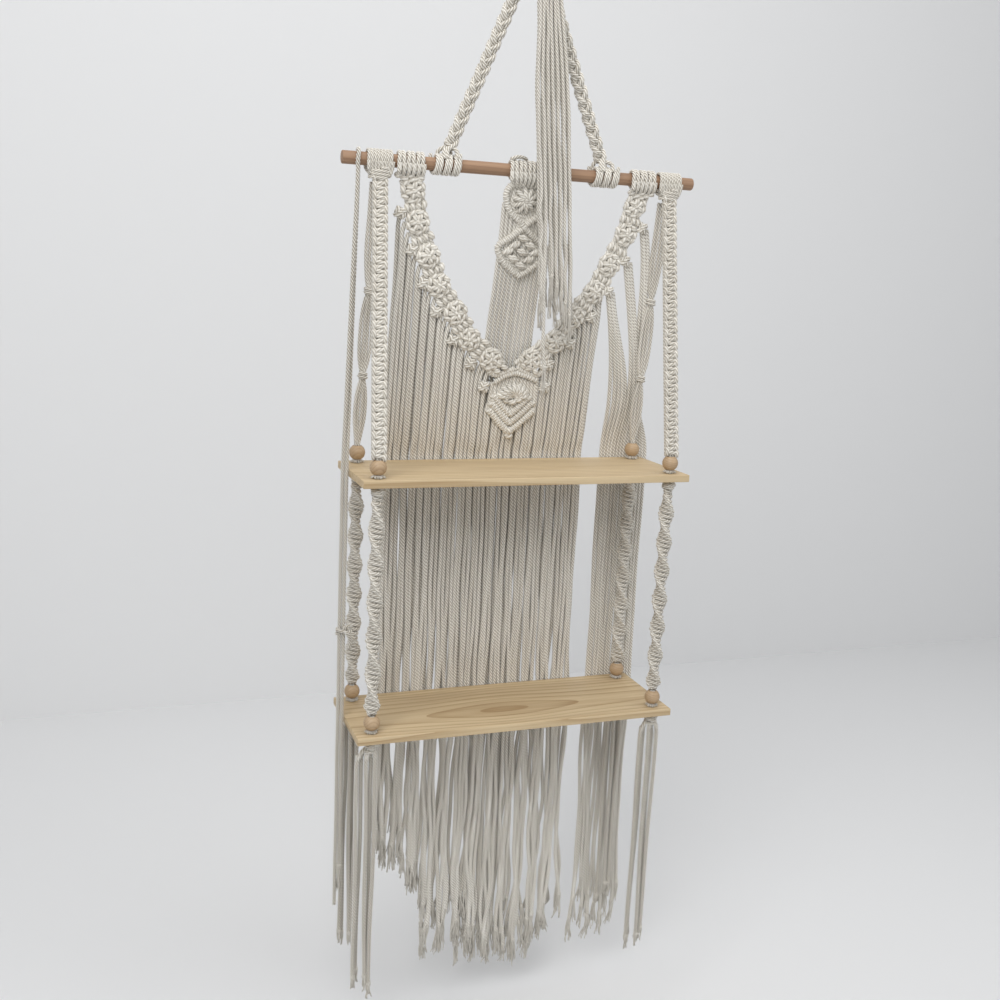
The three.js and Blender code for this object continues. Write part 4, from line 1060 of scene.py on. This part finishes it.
class SHELF_OT_stop_knots(bpy.types.Operator):
    """Tie the knots that hold the lower board, with the cords through it and its beads"""

    bl_idname = "shelf.stop_knots"
    bl_label = "Stop knots"

    def execute(self, context):
        for corner, x, y, number in corners():
            work = CordWork(60 + number)
            through_board(work, x, y, LOWER_Z, BEAD_TOP - 0.4)
            stop_knot(work, x, y, LOWER_Z)
            work.piece(f"{corner}_foot_knot", "lower_shelf", f"{corner}_stop_knot")
        return {"FINISHED"}


class SHELF_OT_tassels(bpy.types.Operator):
    """Hang the slings' loose ends under the lower board"""

    bl_idname = "shelf.tassels"
    bl_label = "Tassels"

    def band(self, band, x, y, top_z, lean, half):
        """The turns under the stop knot, out of which the five cords come"""
        coil(band, (x - lean * 0.6, y, top_z + 2.2), half - 5.6, 4.8, 1.3, 3.6, 4.2)
        for k in range(5):
            spot = (k - 2) / 2
            deep = 2.6 if k % 2 else -3.0
            knee = (x - lean * 0.3 + spot * half * 0.72, y + deep * 0.8, top_z + 1)
            start, end = (x - lean + spot * 5.5, y, top_z + 6), (x + spot * half * 0.97, y + deep, top_z - 8)
            band.cord([start, knee, end], 5.6)

    def execute(self, context):
        top_z = LOWER_Z + KNOT_BOTTOM - PIVOT_DROP
        for corner, hole_x, y, number in corners():
            lean, half = TASSELS[corner]
            node = f"{corner}_tassel"
            x = hole_x + lean
            draws = np.random.default_rng(70 + number)
            band = CordWork(690 + number)
            self.band(band, x, y, top_z, lean, half)
            band.piece(f"{node}_band", node, node)
            for k in range(5):
                # These cords have a sharp lay and a strong painted shade between their strands
                work = CordWork(710 + 10 * number + k, -0.85)
                spot = (k - 2) / 2
                deep, aside = (2.4, 1.1) if k % 2 else (-2.8, 0)
                cluster = -0.86 if k < 2 else 0.62
                end = top_z - TASSEL_LENGTH + float(draws.uniform(0, 24))
                phase = float(draws.uniform(0, TURN))
                points = [(x + spot * half * 0.93, y + deep, top_z - 2)]
                for z in np.linspace(top_z - 14, end, 16):
                    share = (top_z - z) / TASSEL_LENGTH
                    gather = (cluster - spot) * 0.62 * share**1.6
                    sway = 0.8 * math.sin(share * 9 + phase)
                    points.append((x + aside + (spot + gather) * half + sway, y + deep + sway * 0.5, z))
                path = smooth_path(points, work.settings.step)
                work.lay(path, 6.2, fray=18, loose=1.5)
                work.piece(f"{node}_cord_{k + 1}", node, node)
        return {"FINISHED"}


class SHELF_OT_tail(bpy.types.Operator):
    """Tie the loose cords that hang in front of the knot"""

    bl_idname = "shelf.tail"
    bl_label = "Tail cords"

    def route(self, draws, fan, start_y, y, end_z):
        """One cord's points, from the tie to the rod and on down to its end"""
        x = TIE_X + fan * TAIL_TIED
        points = [(x, start_y, TIE_TOP + 1), (x, start_y, TIE_BOTTOM)]
        for share in np.linspace(0.12, 1, 8):
            wide = TAIL_TIED + (TAIL_SPREAD - TAIL_TIED) * min(1, share * 1.6)
            x = TIE_X + 22 * share + fan * wide + float(draws.uniform(-0.8, 0.8))
            points.append((x, start_y + (y - start_y) * min(1, share * 2), TIE_BOTTOM + (ROD_Z - TIE_BOTTOM) * share))
        for share in np.linspace(0.15, 1, 8):
            x = 28 + 13 * share + fan * (TAIL_SPREAD + 0.3 * share) + float(draws.uniform(-1.3, 1.3))
            points.append((x, y, ROD_Z + (end_z - ROD_Z) * share))
        return points

    def execute(self, context):
        tie = CordWork(80)
        coil(tie, (TIE_X, TIE_Y, (TIE_TOP + TIE_BOTTOM) / 2), 10.8, 4.6, 2.6, 4.4, 4.4)
        tie.piece("tail_wrap", "tail", "tail_cords")
        draws = np.random.default_rng(81)
        for column in range(7):
            for layer, y in enumerate(TAIL_LAYERS):
                work = CordWork(800 + column * 2 + layer)
                start_y = TIE_Y + (-3.25 if layer else 3.25)
                uneven = ((column * 5 + layer * 3) % 7) * 5 - TAIL_LONGER.get((column, layer), 0)
                points = self.route(draws, column - 3, start_y, y, ROD_Z - TAIL_LENGTH + uneven)
                path = smooth_path(points, work.settings.step)
                work.lay(path, 4.6, fray=36, loose=1.6)
                work.piece(f"tail_cord_{column * 2 + layer + 1}", "tail", "tail_cords")
        return {"FINISHED"}


class SHELF_OT_v_arms(bpy.types.Operator):
    """Knot the two arms of the V: a woven band under a row of flowers, with small knots between them"""

    bl_idname = "shelf.v_arms"
    bl_label = "Arms of the V"

    def head(self, work, x):
        """The cords and bumps where an arm leaves the rod"""
        off_rod(work, x, 29, lambda share: bib_point(x + share * 29, 17, 2.5), 6, (1, 9.4, 9))
        for k in range(5):
            pearl(work, x + (k / 4 - 0.5) * 26, 15 + (k % 2) * 3, 0.2, 2.6)

    def band(self, work, side):
        """Five cords side by side under the flowers"""
        middle = [(ARM_SPREAD + 1, 17, 0), *((x, drop, 0) for x, drop in ARM_CENTRES), (14, 244, 0)]
        spine = smooth_path(middle, 9)[:, :2]
        across = unit(np.gradient(spine, axis=0)[:, ::-1] * (-1, 1))
        for lane in range(5):
            line = spine + across * (lane - 2) * 4.8
            heights = 1.7 + 0.4 * (-1.0) ** (lane + np.arange(len(line)))
            work.cord([bib_point(BIB_X + side * x, d, h) for (x, d), h in zip(line, heights)], 6.0)

    def between(self, work, side, first, second):
        """A row of bumps across the arm, halfway between two flowers"""
        (x, drop), (next_x, next_drop) = first, second
        slope = math.atan2(next_drop - drop, side * (next_x - x))
        for off in (-11, -3.8, 3.8, 11):
            place_x = BIB_X + side * (x + next_x) / 2 + off * math.cos(slope + math.pi / 2)
            place_drop = (drop + next_drop) / 2 + off * math.sin(slope + math.pi / 2)
            pearl(work, place_x, place_drop, slope, 1.6)

    def execute(self, context):
        for label, side in SIDES.items():
            # These cords are lightened a little as painted light
            work = CordWork(90 + side, 0.7, 0.1)
            self.head(work, BIB_X + side * ARM_SPREAD)
            self.band(work, side)
            for i, (x, drop) in enumerate(ARM_CENTRES):
                flower(work, BIB_X + side * x, drop, 2.0, 0.35 * i)
                if i + 1 < len(ARM_CENTRES):
                    self.between(work, side, *ARM_CENTRES[i : i + 2])
            roof = bib_line(LEAF_MID, side, ((42, 240), (29, 251.5), (12, 247), (1, 243)), 3.4)
            line_coil(work, roof, 2.0, 3.3, 4.6)
            for x, drop in ((34, 240), (25, 238), (17, 241), (26, 246)):
                pearl(work, LEAF_MID + side * x, drop, 0.5, 3.2)
            work.piece(f"{label}_knotted_arm", "fringe", f"{label}_v_arm")
        return {"FINISHED"}


class SHELF_OT_leaf(bpy.types.Operator):
    """Hitch the leaf under the point of the V"""

    bl_idname = "shelf.leaf"
    bl_label = "Leaf"

    def execute(self, context):
        # The leaf's cords are lightened as painted light
        work = CordWork(95, 0.5, 0.6)
        for left, (mid, low), right in LEAF_ROWS:
            for x, drop in (left, right):
                bend = ((x + mid) * 0.5, (low + drop) * 0.5 + 0.8)
                line_coil(work, bib_line(LEAF_MID, 1, ((mid, low), bend, (x, drop)), 3.2), 3.1, 3.7, 4.9, 0.5)
        pearl(work, LEAF_MID - 0.6, 333, 0.2, 2.2)
        pearl(work, LEAF_MID - 1.4, 326, 1.3, 4.2)
        for x, drop in ((-28, 261.5), (30.5, 258.6)):
            roof = bib_line(LEAF_MID, 1, ((0, 248.5), (x * 0.5, 252.5), (x, drop)), 3.6)
            line_coil(work, roof, 2.0, 4.0, 4.7, 0.9)
        for k in range(9):
            swing = (k - 4) * 0.36
            x, drop = 21 * math.sin(swing), 17.5 * math.cos(swing)
            ray = ((0.12, 2.0), (0.4, 5.4), (0.75, 6.6), (1.0, 2.2))
            work.cord([bib_point(LEAF_MID - 0.5 + x * a, 281.5 - drop * a, h) for a, h in ray], 6.0, 1.3)
        for x, drop, angle in LEAF_PEARLS:
            pearl(work, LEAF_MID - 1 + x, drop, angle, 2.6)
        for k in range(13):
            share = k / 12 - 0.5
            side = abs(share * 2)
            x = share * 62
            spots = ((x * 0.95, 253 + 9 * side, 0.4), (x, 285, 0.7), (x * 0.98 + 2, 329 - 24 * side, 0.2))
            work.cord([bib_point(LEAF_MID + a, drop, h) for a, drop, h in spots], 6.0)
        work.piece("hitched_leaf", "fringe", "v_leaf")
        return {"FINISHED"}


class SHELF_OT_diamonds(bpy.types.Operator):
    """Knot the two diamonds under the middle winding"""

    bl_idname = "shelf.diamonds"
    bl_label = "Centre diamonds"

    def ground(self, work):
        """The cords that run down through both diamonds, and those beside their waist"""
        for lane in range(10):
            share = lane / 9 - 0.5
            route = [(share * 40, 18), (share * 48, 36), (share * 14, 66), (share * 54, 91), (share * 14, 120)]
            rises = [0.2 + 0.4 * (-1) ** (lane + i) for i in range(len(route))]
            work.cord([bib_point(DIAMOND_MID + x, drop, h) for (x, drop), h in zip(route, rises)], 6.0)
        for side in (-1, 1):
            for x in (27.5, 22.5, 17, 11.5):
                work.cord(bib_line(DIAMOND_MID, side, ((x, 65.5 - x), (x, 93 - x * 0.2)), -1.0), 5.8)

    def execute(self, context):
        # These cords are lightened as painted light
        work = CordWork(97, 0.5, 0.3)
        off_rod(work, BIB_X, 53, lambda share: bib_point(BIB_X + share * 40, 19, 1.5), 10, (51 / 53, 9.2, 9))
        for side in (-1, 1):
            for line in (UPPER_DIAMOND, LOWER_DIAMOND):
                line_coil(work, bib_line(DIAMOND_MID, side, line, 3.2), 2.2, 3.4, 4.8, 0.9)
        for k in range(10):
            angle = TURN * (k + 0.25) / 10
            c, s = math.cos(angle), math.sin(angle)
            petal = ((1.5, 5.4), (6, 6.6), (11.5, 4.6), (15.5, 1.0))
            work.cord([bib_point(DIAMOND_MID - 2 + r * c, 34 + r * s, h) for r, h in petal], 6.2, 1.3)
        pearl(work, DIAMOND_MID - 2, 34, 0.3, 5.4, 5.0, 4.4, 2.6)
        for i, (x, drop) in enumerate(DIAMOND_KNOTS):
            for off in (-2.4, 2.4):
                arch(work, DIAMOND_MID + x + off, drop, 0.75 * (-1) ** i, 7.6, 3.6, 1.8, 6.0)
        self.ground(work)
        work.piece("knotted_diamonds", "fringe", "centre_diamonds")
        return {"FINISHED"}


class SHELF_OT_fringe(bpy.types.Operator):
    """Hang the fringe from the V and the diamonds"""

    bl_idname = "shelf.fringe"
    bl_label = "Fringe"

    def hang(self, work, x, start, end_drop, wander, layer, gather, thickness):
        """A loose cord from its knot, (x, drop), down over the upper board's back edge to its end"""
        phase = work.draws.uniform(0, TURN, 4)
        start_x, start_drop = start

        def sway(drop):
            share = max(0.0, drop - BENCH_DROP) / FREE_FALL
            size = wander * (0.45 + 3.8 * share**1.4)
            wave = math.sin(drop / 21 + phase[0]) * 0.45 + math.sin(drop / 47 + phase[1])
            return size * wave + gather * share**1.5, size * 0.5 * math.sin(drop / 33 + phase[2])

        points = [behind(start_x, start_drop, layer * 0.4 + 0.4)]
        if start_drop + 40 < BENCH_DROP:
            points.append(behind(start_x + (x - start_x) * 0.8, start_drop + 10, layer + 0.4))
            for drop in np.arange(start_drop + 26, BENCH_DROP - 14, 26):
                points.append(behind(x + sway(drop)[0], drop, layer))
        points.append(at_edge(x + sway(BENCH_DROP)[0], layer))
        for drop in [*np.arange(BENCH_DROP + 14, end_drop - 12, 22), end_drop]:
            across, deep = sway(drop)
            near_board = drop < BENCH_DROP + 330 and drop != end_drop
            points.append(behind(x + across, drop, layer + (abs(deep) * 0.4 if near_board else deep)))
        fray = work.settings.fray * float(work.draws.uniform(0.75, 1.25))
        work.lay(smooth_path(points, work.settings.step), thickness, fray=fray)

    def fall(self, work, points, x, layer, end, tip, thickness):
        """A cord through its given points, then straight down from the board's back edge to its tip"""
        phase = work.draws.uniform(0, TURN, 2)
        points.append(at_edge(x, layer))
        for drop in np.arange(BENCH_DROP + 14, end - 8, 24):
            size = 0.5 + 2.4 * ((drop - BENCH_DROP) / FREE_FALL) ** 1.4
            wave = math.sin(drop / 23 + phase[0]) * 0.4 + math.sin(drop / 51 + phase[1])
            points.append(behind(x + size * wave, drop, layer))
        path = smooth_path([*points, tip], work.settings.step)
        work.lay(path, thickness, fray=work.settings.fray)

    def side_cords(self, side, label, edge, ends, reach_end, last_berry):
        """Two layers of cords below one arm, gathered in fours towards their frayed ends"""

        def edge_drop(reach):
            return float(np.interp(reach, *zip(*reversed(edge))))

        # Both layers are lightened as painted light against the shade of their dense packing, the back layer less
        # than the front
        front = CordWork(100 + side, 0.0, 0.8)
        back = CordWork(104 + side, 0.0, 0.4)
        for x, drop in ARM_BERRIES + [(last_berry, 266)]:
            berry(front, BIB_X + side * (x + 0.5), drop + 1.5, 1.8)
        count = int((reach_end - 3) / FRINGE_PITCH) + 1
        for i in range(count):
            if i == (count + 1) // 2:
                front.piece(f"{label}_fringe_inner_cords", "fringe", f"{label}_fringe")
                # These cords are lightened as painted light, as above
                front = CordWork(108 + side, 0.0, 0.8)
            reach = 3 + i * FRINGE_PITCH
            x = BIB_X + side * reach
            group = BIB_X + side * (3 + (i // FRAY_GROUP + 0.4) * FRAY_GROUP * FRINGE_PITCH)
            start_reach = max(0.0, reach - 4)
            start = (BIB_X + side * start_reach, edge_drop(start_reach) - 15)
            end = float(np.interp(x, *zip(*ends))) - float(front.draws.uniform(0, 22))
            drift = front.near(1.2)
            self.hang(front, x + drift, start, end, 1.0, 0.5 * (-1) ** i, (group - x) * 0.7, 6.0)
            behind_x = x + side * FRINGE_PITCH / 2
            start = (behind_x, edge_drop(reach) - 12)
            shorter = float(back.draws.uniform(0, 60))
            self.hang(back, behind_x, start, end - shorter, 1.3, 5.2, (group - x) * 0.4, 5.8)
        front.piece(f"{label}_fringe_outer_cords", "fringe", f"{label}_fringe")
        back.piece(f"{label}_fringe_back_cords", "fringe", f"{label}_fringe")

    def panel(self):
        """The right arm's upper cords, which fan out, draw together behind the sling and spread again"""
        # The panel's cords are lightened as painted light
        work = CordWork(102, 0.0, 0.7)
        for i in range(15):
            share = i / 14
            knot_x, knot_drop = ARM_BERRIES[2 - min(2, int(share * 3))]
            x = 153 + 66 * share
            gather_x = x + (190 - x) * share * 0.85
            end = 1095 - ((i * 7) % 5) * 16
            fan_x = BIB_X + knot_x + (share * 3 % 1) * 9
            layer = 0.4 * (-1) ** i
            spots = ((fan_x + 2, knot_drop + 4), (fan_x + 5, knot_drop + 16), (gather_x, 285))
            points = [behind(*spot, layer) for spot in spots]
            self.fall(work, points, x, abs(layer), end, behind(x - 3, end), 6.0)
        work.piece("right_panel_cords", "fringe", "right_fringe")

    def centre(self):
        """The cords that hang from the lower diamond, behind the V and the rest of the fringe"""
        # These cords are lightened as painted light
        work = CordWork(103, 0.0, 0.5)
        for i in range(11):
            x = DIAMOND_MID + (i - 5) * FRINGE_PITCH
            start = 121 - abs(i - 5) * 5.2
            end = 1110 - ((i * 3) % 4) * 15
            spots = ((1, start, 0.5), (1.02, 150, 4.0), (1.04, 185, 7.6), (1.04, 300, 7.6))
            points = [behind(x * wide, drop, layer) for wide, drop, layer in spots]
            self.fall(work, points, x, 6.8, end, behind(x, end, 6.8), 5.8)
        work.piece("centre_fringe_cords", "fringe", "centre_fringe")

    def execute(self, context):
        self.side_cords(-1, "left", LEFT_EDGE, LEFT_ENDS, 158, 32)
        self.side_cords(1, "right", RIGHT_EDGE, RIGHT_ENDS, 120, 50)
        self.panel()
        self.centre()
        return {"FINISHED"}


class SHELF_OT_outer_cord(bpy.types.Operator):
    """Hang the single cord that is folded over the rod's left end"""

    bl_idname = "shelf.outer_cord"
    bl_label = "Outer cord"

    def leg(self, work, x, y, hang_x, drop):
        """One half of the cord, from the rod to its end"""
        points = [(x, y, ROD_Z - 13)]
        for share in (0.25, 0.5, 0.75, 1):
            z = ROD_Z - 13 - (BOARD_DROP - 13) * share
            points.append((x + (hang_x - x) * share, y + (OUTER_Y - y) * share, z))
        for z in np.linspace(UPPER_Z - 60, ROD_Z - drop, 11):
            points.append((hang_x + float(work.draws.uniform(-0.5, 0)), OUTER_Y + work.near(0.8), z))
        return points

    def execute(self, context):
        # This cord has a sharp lay and a strong painted shade between its strands
        work = CordWork(110, -0.85)
        saddle = []
        for angle in np.linspace(0, math.pi, 9):
            x = OUTER_X + OUTER_HALF * (2 * angle / math.pi - 1)
            saddle.append((x, -WRAP_R * math.cos(angle), ROD_Z + WRAP_R * math.sin(angle)))
        front, back = (
            self.leg(work, OUTER_X + sign * OUTER_HALF, sign * WRAP_R, *end) for sign, end in zip((-1, 1), OUTER_ENDS)
        )
        work.lay(smooth_path(front[::-1] + saddle + back, work.settings.step), 5.4, fray=work.settings.fray)
        knot_z = UPPER_Z - 200
        coil(work, (-216.4, OUTER_Y, knot_z), 5.6, 4.8, 1.5, 4.8, 5.2, 2.0)
        for line in OUTER_BOW:
            work.cord([(x, OUTER_Y + y, knot_z + z) for x, y, z in line], 5.0)
        work.piece("outer_loose_cord", "fringe", "outer_cord")
        return {"FINISHED"}


OPERATORS = (
    SHELF_OT_camera,
    SHELF_OT_tail,
    SHELF_OT_tassels,
    SHELF_OT_outer_cord,
    SHELF_OT_fringe,
    SHELF_OT_boards,
    SHELF_OT_rod,
    SHELF_OT_beads,
    SHELF_OT_hanging_loop,
    SHELF_OT_braids,
    SHELF_OT_windings,
    SHELF_OT_front_slings,
    SHELF_OT_back_slings,
    SHELF_OT_spirals,
    SHELF_OT_stop_knots,
    SHELF_OT_v_arms,
    SHELF_OT_leaf,
    SHELF_OT_diamonds,
    SHELF_OT_stage,
)


class SHELF_PT_panel(bpy.types.Panel):
    """Lists the shelf's pieces in the sidebar"""

    bl_idname = "SHELF_PT_panel"
    bl_label = "Rope shelf"
    bl_space_type = "VIEW_3D"
    bl_region_type = "UI"
    bl_category = "Rope shelf"

    def draw(self, context):
        for settings in (context.scene.shelf_cord, context.scene.shelf_wood, context.scene.shelf_stage):
            box = self.layout.box()
            for name in settings.__annotations__:
                box.prop(settings, name)
        for operator in OPERATORS:
            self.layout.operator(operator.bl_idname)


CLASSES = (CordSettings, WoodSettings, StageSettings, *OPERATORS, SHELF_PT_panel)


def register():
    for cls in CLASSES:
        bpy.utils.register_class(cls)
    bpy.types.Scene.shelf_cord = PointerProperty(type=CordSettings)
    bpy.types.Scene.shelf_wood = PointerProperty(type=WoodSettings)
    bpy.types.Scene.shelf_stage = PointerProperty(type=StageSettings)


def unregister():
    del bpy.types.Scene.shelf_stage
    del bpy.types.Scene.shelf_wood
    del bpy.types.Scene.shelf_cord
    for cls in reversed(CLASSES):
        bpy.utils.unregister_class(cls)


def main():
    register()
    for operator in OPERATORS:
        group, name = operator.bl_idname.split(".")
        getattr(getattr(bpy.ops, group), name)()


if __name__ == "__main__":
    main()
